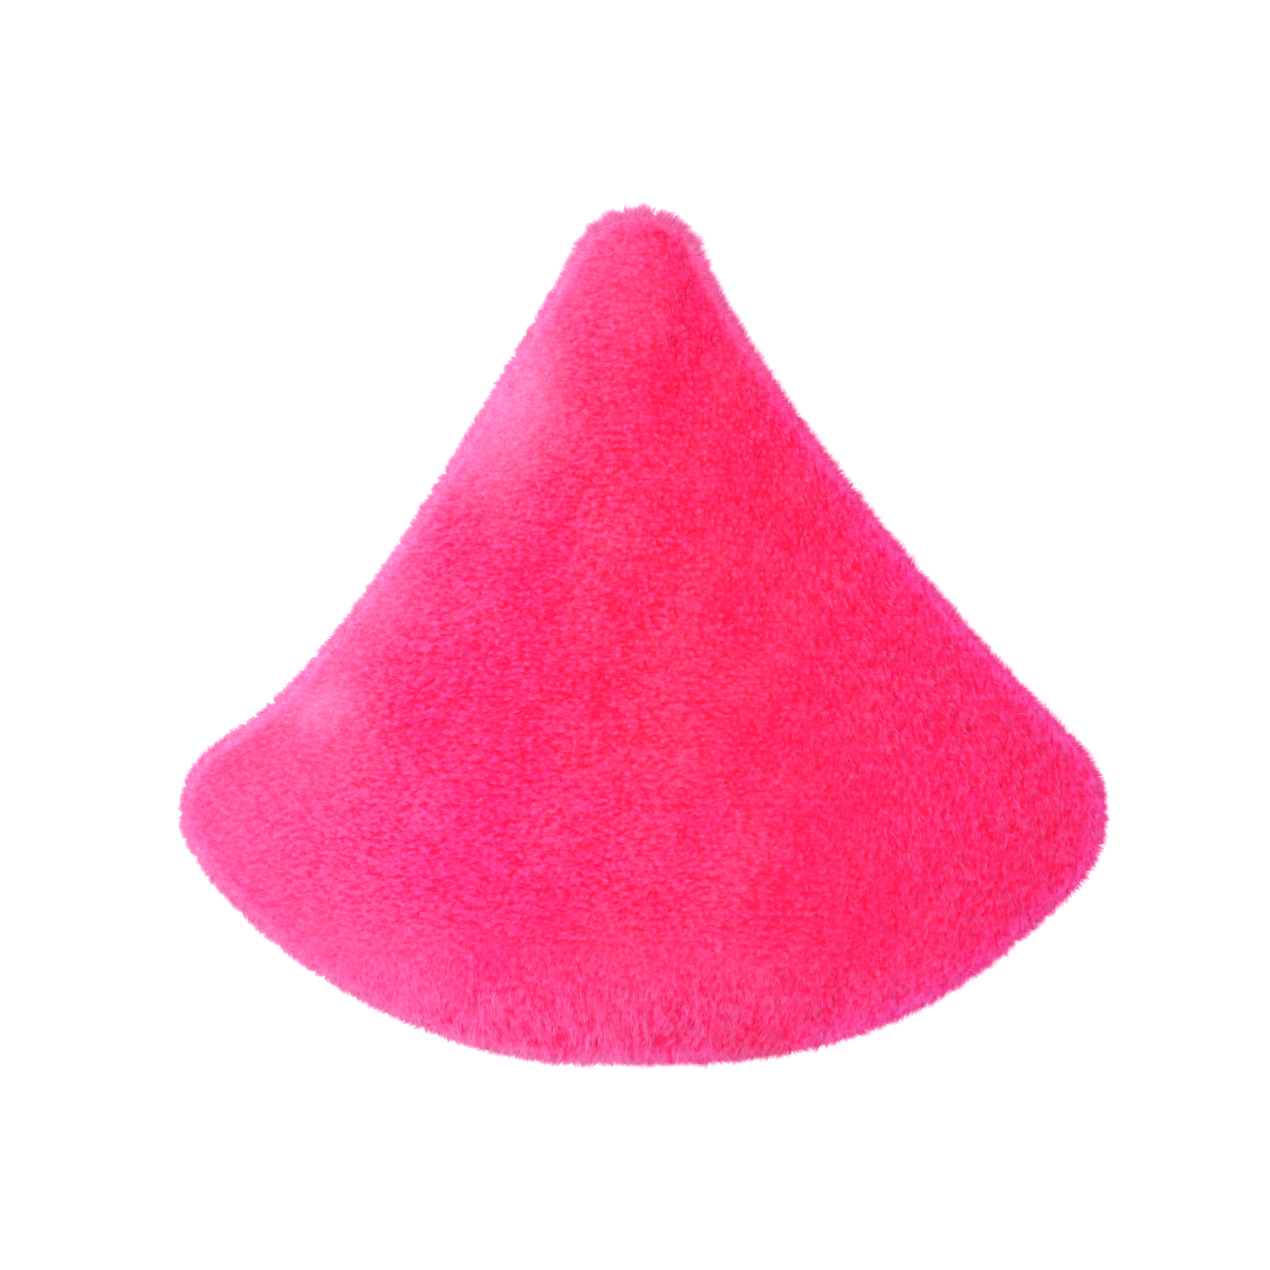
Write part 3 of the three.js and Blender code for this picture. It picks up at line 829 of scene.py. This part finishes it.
def nearest_two(places, seeds, southward):
    """The tuft at each place, and the distances to its middle and to the next one's."""
    tuft = np.zeros(len(places), int)
    near, next_near = np.zeros((2, len(places)))
    for chosen, squeeze in ((~southward, (1, TUFT_STRETCH, 1)), (southward, (TUFT_STRETCH, 1, 1))):
        tree = tree_of(seeds * squeeze)
        found = [tree.find_n(place, 2) for place in places[chosen] * squeeze]
        tuft[chosen] = [hits[0][1] for hits in found]
        near[chosen] = [hits[0][2] for hits in found]
        next_near[chosen] = [hits[1][2] for hits in found]
    return tuft, near, next_near


def tufted(places, facing, triangles, calm, seed):
    """Raises a skin into tufts. Gives its places, their share of the colours (deeper red in the creases as
    painted shade, pinker on the domes as painted highlight), their tuft and all tufts.
    """
    rng = np.random.default_rng(seed)
    seeds = tuft_seeds(places, triangles, rng)
    shifted = places.copy()
    for k in (X, Y, Z):
        shifted[:, k] += wander(places, SHIFT, SHIFT_SIZE, seed + SHIFT_SEED + k)
    plan = places[:, :2]
    turned = to_south(plan) + wander(plan, *TURN_WANDER, seed + TURN_SEED) - 0.5
    tuft, near, next_near = nearest_two(shifted, seeds, turned > 0)
    high = rng.uniform(*TUFT_HEIGHTS, len(seeds))[tuft]
    dome = 1 - TUFT_FALL * smooth(0, TUFT_REACH, near)
    depth = smooth(*CREASE_BAND, wander(places, 1, CREASE_SIZE, seed + CREASE_SEED))
    crease = np.exp(-((next_near - near) / CREASE_WIDTH) ** 2)
    crease = crease * (CREASE_LEAST + (1 - CREASE_LEAST) * depth) * smooth(0, TURN_BLEND, np.abs(turned))
    relief = (TUFT_DOME * dome * high - CREASE_DEPTH * crease) * calm
    share = np.clip(SKIN_FOOT + SKIN_DOME * dome * high - SKIN_CREASE * crease, 0, 1)
    return places + facing * relief[:, None], share, tuft, seeds


# The covers and the core

TABLE_PRESS = 0.00025
PLAIN_NORMAL_SHARE = 0.8

strap_y = STRAP_RISE - PAD_LENGTH / 2
strap_edge = STRAP_WIDTH / 2
under_strap = 1 - smooth(strap_edge, strap_edge + PRESS_BORDER, np.abs(points[:, Y] - strap_y))


def skin_of(panel, rings, face, calm, seed):
    """The tufted outer face of a panel, with what its fibres need to know of it."""
    grid = np.concatenate([face, grid_normals(face, panel.up), border_of(rings), calm[..., None]], 2)
    values, triangles, rim = even_mesh(grid, rings, WIDEST_RING)
    plain, facing = values[:, :3], unit(values[:, 3:6])
    outward, from_edge, calm_here = values[:, 6:8], values[:, 8], values[:, 9]
    raised, share, tuft, seeds = tufted(plain, facing, triangles, calm_here, seed)
    plan = plain[:, :2]
    # Colour values of the skin: along carries painted shade in the creases and painted highlight on the
    # domes, the nap value is painted pale sheen, and the edge value is painted magenta sheen
    look = {
        "along": share,
        "nap": nap_of(plan, from_edge),
        "edge": edge_sheen_of(plan, from_edge),
        "lay": to_south(plan),
    }
    return SimpleNamespace(places=raised, facing=facing, outward=outward, triangles=triangles,
                           rim=rim, look=look, tuft=tuft, seeds=seeds, up=panel.up)


def closed_body(skin, panel):
    """The places and faces of a skin that its panel's inner face closes."""
    rings = lining(panel, 0)
    rings.append((1.0, rings[-1][1], panel.lip[1], 0, 1))
    inner = sheet_of(rings, np.zeros(len(rings)))
    places, faces, rim = even_mesh(inner, rings, WIDEST_LINING_RING, len(skin.places))
    closed = np.concatenate([skin.triangles, faces[:, ::-1], stitch(*rim, *skin.rim)[:, ::-1]])
    return np.concatenate([skin.places, places]), closed[:, ::panel.up]


def soften(piece, facing):
    """Turns the normals of a cover part of the way back to those of its skin before the tufts."""
    blend = np.zeros((len(piece.data.vertices), 3))
    piece.data.vertex_normals.foreach_get("vector", blend.ravel())
    blend[:len(facing)] = unit(blend[:len(facing)] + PLAIN_NORMAL_SHARE * facing)
    piece.data.normals_split_custom_set_from_vertices(blend.tolist())


def cover(name, node, panel, pressed, swell, seed):
    """A panel of the pad: a closed body whose outer face is the mass of the pile. Gives its skin."""
    rings = profile(panel)
    face = sheet_of(rings, depths_of(rings, pressed), swell)
    face[..., Z] = np.maximum(face[..., Z], TABLE_PRESS)
    skin = skin_of(panel, rings, face, calm_of(rings, pressed), seed)
    places, faces = closed_body(skin, panel)
    piece = mesh_object(name, places, [faces])
    soften(piece, skin.facing)
    lined = len(places) - len(skin.places)
    keep_values(piece, **{key: np.pad(value, (0, lined)) for key, value in skin.look.items()})
    dress(piece, VELOUR_PILE, "velour", node)
    return skin


def core():
    """The foam core, a little clear of both panels."""
    over, under = lining(FRONT, CLEARANCE), lining(REAR, CLEARANCE)
    flat = np.zeros(LINING_RINGS)
    top, top_faces, top_rim = even_mesh(sheet_of(over, flat), over, WIDEST_LINING_RING)
    low, low_faces, low_rim = even_mesh(sheet_of(under, flat), under, WIDEST_LINING_RING, len(top))
    faces = np.concatenate([top_faces, low_faces[:, ::-1], stitch(*low_rim, *top_rim)[:, ::-1]])
    piece = mesh_object("foam_pad", np.concatenate([top, low]), [faces])
    dress(piece, FOAM, "foam", "foam_core")


front_skin = cover("front_cover", "front_panel", FRONT, pressed=0, swell=front_swell, seed=101)
rear_skin = cover("rear_cover", "rear_panel", REAR, pressed=under_strap, swell=None, seed=202)
core()

# The finger strap

# Its middle line round the rear edge, from the seam to under the pad: insets from the outline, and
# drops from the seam plane
STRAP_WRAP = [
    (STRAP_TAB_INSET, 0),
    (0.0015, 0.00003),
    (0.0011, 0.0002),
    (STRAP_WRAP_INSET, 0.0007),
    (STRAP_WRAP_INSET, 0.0013),
    (0.0011, 0.002),
    (REAR.shoulder[0], CLEARANCE + STRAP_THICKNESS / 2 - REAR.shoulder[1]),
]
FLANK_NORMAL = 0.3
STRAP_SPANS = 28
STRAP_STEPS = 220
STRAP_ACROSS = 25
SPLINE_STEPS = 16


def crossing(part, axis, at):
    """The outline's point and normal where a part of it passes a place along an axis."""
    part = np.flatnonzero(part)
    part = part[np.argsort(points[part, axis])]
    columns = np.hstack([points, normals])[part].T
    return np.array([np.interp(at, columns[axis], column) for column in columns]).reshape(2, 2)


def strap_end(y, side):
    """One end of the strap's middle line, from inside the seam round the rear edge to under the pad."""
    point, normal = crossing(normals[:, X] * side > FLANK_NORMAL, Y, y)
    plan = np.array([(point[X] - inset / normal[X], y) for inset, _ in STRAP_WRAP])
    drops = np.array([drop for _, drop in STRAP_WRAP])
    return np.column_stack([plan, seam_height(plan) - drops])


def spline(line, steps):
    """A smooth curve through the points of a line, with evenly spaced steps."""
    guides = np.vstack([2 * line[0] - line[1], line, 2 * line[-1] - line[-2]])
    t = np.linspace(0, 1, SPLINE_STEPS, endpoint=False)[:, None]
    fine = []
    for a, b, c, d in zip(guides, guides[1:], guides[2:], guides[3:]):
        second = 2 * a - 5 * b + 4 * c - d
        third = 3 * b - a - 3 * c + d
        fine.append(0.5 * (2 * b + (c - a) * t + second * t**2 + third * t**3))
    return evenly(np.vstack([*fine, line[-1:]]), steps)


def strap_line(y):
    """The strap's middle line across the whole back at one distance along Y."""
    start, end = strap_end(y, -1), strap_end(y, 1)[::-1]
    low = middle_rise - REAR_CROWN - FINGER_GAP - STRAP_THICKNESS / 2
    share = np.arange(1, STRAP_SPANS) / STRAP_SPANS
    middle = start[-1] + (end[0] - start[-1]) * share[:, None]
    away = np.abs(2 * share - 1) ** STRAP_SAG_POWER
    middle[:, Z] = low + (middle[:, Z] - low) * away
    return spline(np.vstack([start, middle, end]), STRAP_STEPS)


strap_across = np.linspace(-1, 1, STRAP_ACROSS)
strap_grid = np.array([strap_line(strap_y + a * STRAP_WIDTH / 2) for a in strap_across])
strap_middle = strap_grid[STRAP_ACROSS // 2]

# The ribbon's weave is thicker along its selvedges, with small loops, and it ripples where it is free
RIBBON_THICKNESS = 0.00034
SELVEDGE_THICKNESS = 0.00014
SELVEDGE_SHARE = 0.06
LOOP_SHARE = 0.4
RIPPLE = (0.00022, 0.017, 11)
RIPPLE_STRETCH = (1.0, 2.2)
RIPPLE_START = (0.08, 0.2)
RIPPLE_END = (0.8, 0.92)


def rippled_strap():
    """The places of the ribbon's middle layer with its faint ripple, and their normals."""
    normal = unit(np.cross(np.gradient(strap_grid, axis=1), np.gradient(strap_grid, axis=0)))
    share = np.linspace(0, 1, STRAP_STEPS)
    free = smooth(*RIPPLE_START, share) * (1 - smooth(*RIPPLE_END, share))
    plan = strap_grid.reshape(-1, 3)[:, :2] * RIPPLE_STRETCH
    ripple = wander(plan, *RIPPLE).reshape(STRAP_ACROSS, STRAP_STEPS)
    return strap_grid + normal * (ripple * free[None, :])[..., None], normal


def half_thickness():
    """Half the ribbon's thickness over its grid."""
    selvedge = 1 - smooth(0, SELVEDGE_SHARE, 1 - np.abs(strap_across))
    loops = 0.5 + 0.5 * np.cos(np.arange(STRAP_STEPS) * math.pi)
    thicker = SELVEDGE_THICKNESS * selvedge[:, None] * (1 - LOOP_SHARE + LOOP_SHARE * loops[None, :])
    return 0.5 * (RIBBON_THICKNESS + thicker)


def slab_faces(rows, columns):
    """Faces of a closed slab between two grids, the second one's points after the first one's."""
    top = np.arange(rows * columns).reshape(rows, columns)
    under = top + rows * columns
    face = np.stack([top[:-1, :-1], top[:-1, 1:], top[1:, 1:], top[1:, :-1]], -1).reshape(-1, 4)
    loop = np.concatenate([top[0, :], top[1:, -1], top[-1, -2::-1], top[-2:0:-1, 0]])
    loop_under = loop + rows * columns
    rim = np.stack([loop, loop_under, np.roll(loop_under, -1), np.roll(loop, -1)], 1)
    return np.concatenate([face, (face + under[0, 0])[:, ::-1], rim])


def ribbon():
    """The satin ribbon with its thicker woven selvedges and a faint ripple across it."""
    grid, normal = rippled_strap()
    offset = normal * half_thickness()[..., None]
    places = np.concatenate([(grid + offset).reshape(-1, 3), (grid - offset).reshape(-1, 3)])
    piece = mesh_object("strap_ribbon", places, [slab_faces(STRAP_ACROSS, STRAP_STEPS)])
    dress(piece, SATIN, "satin_ribbon", "finger_strap")


ribbon()

# Threads, each two plies twisted together

SEAM_THREAD_DIAMETER = 0.0004
SEAM_THREAD_INSET = 0.00095
SEAM_THREAD_DROP = 0.00005
STITCH_THREAD_DIAMETER = 0.00035
TURNING_GAP_LEFT = 0.012
TURNING_GAP_RIGHT = 0.0075
CLOSING_STITCH_PITCH = 0.0016
CLOSING_FRONT = (0.0007, 0.0003)
CLOSING_REAR = (0.0012, -0.00045)
HEM_NORMAL = -0.5
TACK_PITCH = 0.0013
TACK_LENGTH = 0.0016
TACK_INSET = 0.0006
TACK_MARGIN = 0.001
PLY_SIDES = 6
PLY_SWELL = 1.08
TWIST_PITCH = 0.0011
TWIST_STEP = 0.00011
LEAST_STEPS = 8


def carried_sides(travel):
    """A way at right angles to each way of travel, which turns as little as it can along the line."""
    side = np.cross(travel[0], [0.0, 0.0, 1.0])
    side /= np.linalg.norm(side)
    sides = []
    for way in travel:
        side = side - way * (side @ way)
        side = side / np.linalg.norm(side)
        sides.append(side)
    return np.array(sides)


def twisted(name, line, diameter, *nodes):
    """A thread along a line: two plies wound round each other, with closed ends."""
    path = spline(line, max(LEAST_STEPS, int(float(steps_of(line).sum()) / TWIST_STEP)))
    travel = unit(np.gradient(path, axis=0))
    sides = carried_sides(travel)
    ups = np.cross(travel, sides)
    turns = np.arange(len(path)) * TWIST_STEP / TWIST_PITCH * 2 * math.pi
    radius = diameter / 4
    angles = np.arange(PLY_SIDES) / PLY_SIDES * 2 * math.pi
    ring = turned_from(sides[:, None], ups[:, None], angles)
    places, faces, caps = [], [], []
    for ply in (0, 1):
        phase = turns + ply * math.pi
        middle = path + radius * turned_from(sides, ups, phase)
        places.append((middle[:, None, :] + radius * PLY_SWELL * ring).reshape(-1, 3))
        start = ply * len(path) * PLY_SIDES
        faces.append(quads(len(path), PLY_SIDES, start))
        last = start + (len(path) - 1) * PLY_SIDES
        caps.append(start + np.arange(PLY_SIDES))
        caps.append(last + np.arange(PLY_SIDES)[::-1])
    outward = [np.concatenate(faces)[:, ::-1], np.array(caps)[:, ::-1]]
    dress(mesh_object(name, np.concatenate(places), outward), THREAD, "thread", *nodes)


def beside_seam(point, normal, inset, height):
    plan = point - normal * inset
    return np.append(plan, seam_height(plan) + height)


def seam_thread():
    """The machine seam in the groove between the panels, open at the turning gap."""
    in_gap = (points[:, X] > -TURNING_GAP_LEFT) & (points[:, X] < TURNING_GAP_RIGHT)
    hem = (normals[:, Y] < 0) & in_gap
    start = int(np.flatnonzero(hem & ~np.roll(hem, -1))[0]) + 1
    order = np.roll(np.arange(STATIONS), -start)
    run = [i for i in order if not hem[i]]
    line = [beside_seam(points[i], normals[i], SEAM_THREAD_INSET, -SEAM_THREAD_DROP) for i in run]
    twisted("perimeter_seam", np.array(line)[::2], SEAM_THREAD_DIAMETER, "seam_thread")


def closing_stitches():
    """Hand stitches to and fro between the panels, over the turning gap."""
    start = SEAM_THREAD_DIAMETER - TURNING_GAP_LEFT
    length = TURNING_GAP_RIGHT - SEAM_THREAD_DIAMETER - start
    crossings = 2 * round(length / CLOSING_STITCH_PITCH)
    line = []
    for i in range(crossings + 1):
        on_hem = crossing(normals[:, Y] < HEM_NORMAL, X, start + length * i / crossings)
        line.append(beside_seam(*on_hem, *(CLOSING_REAR if i % 2 else CLOSING_FRONT)))
    twisted("hem_stitches", np.array(line), STITCH_THREAD_DIAMETER, "closing_stitches")


def on_strap(y, side, along):
    """A point on the outer face of one end of the strap, at a distance past its turn round the edge."""
    row = strap_line(y)[::-side]
    first = int(np.argmin(np.linalg.norm(row - strap_end(y, side)[-1], axis=1)))
    at = first + 1 + int(np.searchsorted(np.cumsum(steps_of(row[first:])), along))
    way = row[at + 1] - row[at - 1]
    off = np.array([way[Z], 0, -way[X]]) * (1 if way[X] > 0 else -1)
    lift = STRAP_THICKNESS / 2 + STITCH_THREAD_DIAMETER / 2
    return row[at] + off / np.linalg.norm(off) * lift


def strap_tack(name, node, side):
    """Stitches to and fro on one end of the strap."""
    span = STRAP_WIDTH - 2 * TACK_MARGIN
    crossings = 2 * round(span / TACK_PITCH)
    line = []
    for i in range(crossings + 1):
        y = strap_y + span * (i / crossings - 0.5)
        line.append(on_strap(y, side, TACK_INSET + (TACK_LENGTH if i % 2 else 0)))
    twisted(name, np.array(line), STITCH_THREAD_DIAMETER, node)


seam_thread()
closing_stitches()
strap_tack("bar_tack_left", "strap_tack_left", -1)
strap_tack("bar_tack_right", "strap_tack_right", 1)

# Fibres that stand out of the pile

FIBRE_LENGTH = 0.0005
FIBRE_WIDTH = 0.000062
FIBRE_ROOT = 0.0001
FIBRES_PER_PIECE = 24000
TABLE_CLEARANCE = 0.00003

# Where fibres stand: everywhere a few, more on the tufts and over the edge. A fibre is over the
# edge by the slope of the skin, or where the skin turns to face the other panel.
BARE_DENSITY = 0.06
TUFT_DENSITY = 0.55
EDGE_DENSITY = 0.6
EDGE_SLOPES = (0.55, 0.9)
EDGE_TURNS = (0.3, -0.2)
SEAM_TURNS = (0.2, -0.6)

# The longer, streaky pile by the hem, fullest in its middle, and the longer fringe of the apex
HEM_BAND = (Y, -0.0275, -0.0345)
HEM_SIDES = 0.45
HEM_MIDDLE = (0.55, (X, -0.024, -0.012), (X, 0.013, 0.005))
STREAK_WIDTH = 0.0008
STREAK_STRETCH = 0.15
APEX_BAND = (Y, 0.030, 0.036)

# Amounts that differ from place to place: a plain one, and what is added to it where fibres are
# brushed to the hem, by the hem and over the edge
LEAN_SHARE = (1, 0, 0, -0.4)
UNRULY = (0.16, 0, 0, 0.08)
WIDTH_SHARE = (1, 0, 0, -0.25)
MAGENTA_SHARE = (1, 0, 0, -0.35)
TUFT_PALE = (0.02, 0.03, 0.03, 0)
TUFT_FOOT = (0.12, 0, 0.10, 0)

# How fibres lean, how long and wide they are, and how far they gather to their tuft, or over the
# edge to a lock of several tufts
HEM_LEAN = 0.25
SEAM_LEAN = 0.8
LENGTH_SPREAD = (0.7, 1.15)
EDGE_LENGTH_SPREAD = (-0.25, 0.25)
STRAY_SHARE = 0.14
STRAY_GAIN = 0.7
SOUTH_LENGTH = 0.3
HEM_LENGTH = 0.8
EDGE_LENGTH = 0.5
EDGE_SOUTH_LOSS = 0.25
APEX_LENGTH = 0.8
WIDTH_SPREAD = (0.8, 1.25)
TUFT_SHARE = 0.6
SOUTH_TUFT_SHARE = 0.6
LOCK_SPACING = 0.0010
LOCK_SHARE = 0.22

# How fibres and whole tufts differ in colour, and where along its colours a foot lies, which carries the
# painted shade of the skin below
FLECK_PALE = 0.07
SOUTH_FLECK = 0.3
FLECK_MAGENTA = 0.18
STREAK_COLOUR = 0.18
# Painted pale sheen on the fibres over the left edge
LEFT_EDGE_SHEEN = 0.12
TUFT_MAGENTA = 0.08
FOOT_COLOUR = 0.25
FOOT_RISE = 0.5
FOOT_MOST = 0.95

# The small notch of the fringe over the apex
NOTCH_X = 0.00094
NOTCH_LOW = 0.0357
NOTCH_HALF_WIDTH = 0.00014

# Where the ribbon lies against the pile: this far in from its turns, and this far beside it
STRAP_TURN_ROOM = 0.004
STRAP_SIDE_ROOM = 0.0002


def clear_of_strap(roots):
    """False where the ribbon lies against the rear panel."""
    order = np.argsort(strap_middle[:, X])
    under = np.interp(roots[:, X], strap_middle[order, X], strap_middle[order, Z])
    turns = np.abs(roots[:, X]) > np.abs(strap_middle[:, X]).max() - STRAP_TURN_ROOM
    close = (roots[:, Z] - under < FIBRE_LENGTH) | turns
    return ~((np.abs(roots[:, Y] - strap_y) < STRAP_WIDTH / 2 + STRAP_SIDE_ROOM) & close)


def clear_of_notch(roots):
    """False in the small notch of the fringe over the apex."""
    return ~((np.abs(roots[:, X] - NOTCH_X) < NOTCH_HALF_WIDTH) & (roots[:, Y] > NOTCH_LOW))


def part_along(vectors, ways):
    """The part of each vector that lies along its unit way."""
    return ways * np.sum(ways * vectors, axis=1)[:, None]


def planted(skin, per_area, keep, rng):
    """Where the fibres of a skin stand: their roots, and the skin, nap and tuft at each."""
    corners, weights = scattered(skin.places, skin.triangles, per_area, rng)
    roots = weighed(skin.places, corners, weights)
    out = unit(weighed(skin.facing, corners, weights))
    high = weighed(skin.look["along"], corners, weights)
    sloping = smooth(*EDGE_SLOPES, np.linalg.norm(out[:, :2], axis=1))
    over_edge = np.maximum(sloping, smooth(*EDGE_TURNS, out[:, Z] * skin.up))
    density = BARE_DENSITY + TUFT_DENSITY * high + EDGE_DENSITY * over_edge
    kept = keep(roots) & (rng.random(len(roots)) < density)
    corners, weights, roots = corners[kept], weights[kept], roots[kept]
    return SimpleNamespace(
        roots=roots, out=out[kept], high=high[kept], over_edge=over_edge[kept],
        by_hem=wash(roots, 1, HEM_BAND) * (HEM_SIDES + wash(roots, *HEM_MIDDLE)),
        owner=skin.tuft[corners[:, 0]],
        outward=unit(weighed(skin.outward, corners, weights)),
        southward=weighed(skin.look["lay"], corners, weights),
        nap=weighed(skin.look["nap"], corners, weights),
        edge=weighed(skin.look["edge"], corners, weights))


def amount(fibres, plain, south, hem, edge):
    return plain + south * fibres.southward + hem * fibres.by_hem + edge * fibres.over_edge


def ways_of(fibres, skin, rng):
    """The way each fibre points, and the way along the skin that it is brushed."""
    ways, leans = brushed(skin.seeds[fibres.owner, :2], fibres.outward, fibres.over_edge)
    seamward = smooth(*SEAM_TURNS, fibres.out[:, Z] * skin.up)
    leans = leans * amount(fibres, *LEAN_SHARE) + HEM_LEAN * fibres.by_hem + SEAM_LEAN * seamward
    tangent = np.column_stack([ways, np.zeros(len(ways))])
    tangent = unit(tangent - part_along(tangent, fibres.out))
    way = turned_from(fibres.out, tangent, leans)
    return unit(way + amount(fibres, *UNRULY)[:, None] * rng.normal(size=way.shape)), tangent


def lengths_of(fibres, rng):
    """How long each fibre is. Over the edge a few stray ones stand out of the rest."""
    count = len(fibres.roots)
    southward, over_edge = fibres.southward, fibres.over_edge
    lengths = FIBRE_LENGTH * rng.uniform(*LENGTH_SPREAD, count)
    spread = rng.uniform(*EDGE_LENGTH_SPREAD, count)
    lengths *= 1 + over_edge * (spread + STRAY_GAIN * (rng.random(count) < STRAY_SHARE))
    at_edge = EDGE_LENGTH - EDGE_SOUTH_LOSS * southward + wash(fibres.roots, APEX_LENGTH, APEX_BAND)
    on_hem = HEM_LENGTH * fibres.by_hem * (1 - over_edge)
    return lengths * (1 + SOUTH_LENGTH * southward + on_hem + over_edge * at_edge)


def gathered(fibres, seeds, tangent):
    """How far each fibre's tip is drawn along the skin, to the middle of its tuft and of its lock."""
    locks = seeds[thin_out(seeds, LOCK_SPACING)]
    lock_tree = tree_of(locks)
    lock_of = np.array([lock_tree.find(place)[1] for place in seeds])
    on_face = np.maximum(fibres.by_hem, SOUTH_TUFT_SHARE * fibres.southward) * (1 - fibres.over_edge)
    to_tuft = (TUFT_SHARE * on_face)[:, None] * (seeds[fibres.owner] - fibres.roots)
    gather = part_along(to_tuft, np.cross(fibres.out, tangent))
    gather += (LOCK_SHARE * fibres.over_edge)[:, None] * (locks[lock_of[fibres.owner]] - fibres.roots)
    return gather - part_along(gather, fibres.out)


def looks_of(fibres, tuft_count, seed, rng):
    """Where along its colours each fibre's foot lies, and its pale and magenta values, which are painted
    sheen with random flecks and streaks, and its lay value.
    """
    bright = rng.normal(size=tuft_count)[fibres.owner]
    fleck = np.abs(rng.normal(size=len(fibres.roots)))
    plan = fibres.roots[:, :2]
    right_side = wash(plan, 1, FAR_RIGHT)
    streak = fibres.by_hem * wander(plan * (1, STREAK_STRETCH), 1, STREAK_WIDTH, seed + STREAK_SEED)
    pale = fibres.nap + FLECK_PALE * fleck * (1 + SOUTH_FLECK * fibres.southward - right_side)
    pale += bright * amount(fibres, *TUFT_PALE) + STREAK_COLOUR * streak
    pale += LEFT_EDGE_SHEEN * fibres.over_edge * to_left(plan)
    magenta = fibres.edge * amount(fibres, *MAGENTA_SHARE) + FLECK_MAGENTA * fleck * right_side
    magenta += STREAK_COLOUR * streak + TUFT_MAGENTA * bright * fibres.by_hem
    foot = FOOT_COLOUR + FOOT_RISE * fibres.high + amount(fibres, *TUFT_FOOT) * bright
    look = np.column_stack([np.clip(pale, 0, 1), np.clip(magenta, 0, 1), fibres.southward])
    return np.clip(foot, 0, FOOT_MOST), look


def fibre_piece(name, roots, ways, facing, lengths, widths, along, look):
    """One piece of pile: three-sided spikes, closed at their roots."""
    side = unit(np.cross(ways, facing))
    other = np.cross(ways, side)
    circle = turned_from(side[:, None], other[:, None], np.radians([90, 210, 330]))
    low = roots[:, None] + circle * widths[:, None, None] / 2
    tip = roots + ways * lengths[:, None]
    places = np.concatenate([low, tip[:, None]], 1)
    places[..., Z] = np.maximum(places[..., Z], TABLE_CLEARANCE)
    base = (np.arange(len(roots)) * 4)[:, None, None]
    spike = np.array([[0, 1, 3], [1, 2, 3], [2, 0, 3], [2, 1, 0]])
    piece = mesh_object(name, places.reshape(-1, 3), [(base + spike).reshape(-1, 3)], smooth_faces=False)
    # A fibre's colour runs from its foot, deeper red as painted shade, up to its tip, and it keeps the
    # painted sheen values
    rise = np.array([0.0, 0.0, 0.0, 1.0])
    nap, edge, lay = (np.repeat(value, 4) for value in look.T)
    keep_values(piece, along=(along[:, None] + (1 - along[:, None]) * rise).reshape(-1),
                nap=nap, edge=edge, lay=lay)
    dress(piece, VELOUR_PILE, "velour")


def pile(name, skin, per_area, keep, seed):
    """The fibres of one panel, in pieces of a fair size."""
    rng = np.random.default_rng(seed)
    fibres = planted(skin, per_area, keep, rng)
    way, tangent = ways_of(fibres, skin, rng)
    reach = way * lengths_of(fibres, rng)[:, None] + gathered(fibres, skin.seeds, tangent)
    way = unit(reach)
    foot, look = looks_of(fibres, len(skin.seeds), seed, rng)
    widths = FIBRE_WIDTH * rng.uniform(*WIDTH_SPREAD, len(way)) * amount(fibres, *WIDTH_SHARE)
    lengths = np.linalg.norm(reach, axis=1)
    values = (fibres.roots - way * FIBRE_ROOT, way, fibres.out, lengths, widths, foot, look)
    order = np.argsort(fibres.roots[:, Y], kind="stable")
    for k, part in enumerate(np.array_split(order, math.ceil(len(order) / FIBRES_PER_PIECE))):
        fibre_piece(f"{name}_{k + 1}", *(value[part] for value in values))


pile("front_pile", front_skin, per_area=80e6, keep=clear_of_notch, seed=11)
pile("rear_pile", rear_skin, per_area=50e6, keep=clear_of_strap, seed=12)

# Floor, light and camera

FLOOR_HALF = 3.0

# The lamps, all aimed at the origin: name, place, width, power and colour
LAMPS = [
    ("key", (-0.75, 0.35, 0.75), 0.5, 9.0, (1.0, 0.97, 0.98)),
    ("fill", (0.8, -0.5, 0.9), 0.9, 3.2, WHITE),
]

# The camera looks straight down, at the photo's middle, and frames this width at this height
LENS = 200.0
SENSOR_WIDTH = 36.0
PHOTO_CENTRE = (-0.00069, 0.00009)
FRAME_WIDTH = 0.1090
FOCUS_HEIGHT = 0.006


def add_floor():
    corners = [(x * FLOOR_HALF, y * FLOOR_HALF, 0) for x, y in ((-1, -1), (1, -1), (1, 1), (-1, 1))]
    floor = mesh_object("floor", np.array(corners), [np.array([[0, 1, 2, 3]])])
    floor.data.materials.append(floor_material())


def add_lamp(name, place, size, power, colour):
    light = bpy.data.lights.new(name, "AREA")
    light.shape = "DISK"
    light.size = size
    light.energy = power
    light.color = colour
    lamp = linked(name, light)
    lamp.location = place
    lamp.rotation_mode = "QUATERNION"
    lamp.rotation_quaternion = (-Vector(place)).to_track_quat("-Z", "Y")


def add_world():
    world = bpy.data.worlds.new("studio")
    world.use_nodes = True
    background = world.node_tree.nodes["Background"]
    background.inputs["Color"].default_value = (*WHITE, 1)
    background.inputs["Strength"].default_value = 0.93
    bpy.context.scene.world = world
    bpy.context.scene.view_settings.view_transform = "Standard"


def add_camera():
    lens = bpy.data.cameras.new("camera")
    lens.lens = LENS
    lens.sensor_width = SENSOR_WIDTH
    lens.clip_start = 0.01
    camera = linked("camera", lens)
    camera.location = (*PHOTO_CENTRE, FOCUS_HEIGHT + FRAME_WIDTH * LENS / SENSOR_WIDTH)
    return camera


add_floor()
for lamp_values in LAMPS:
    add_lamp(*lamp_values)
add_world()
bpy.context.scene.camera = add_camera()
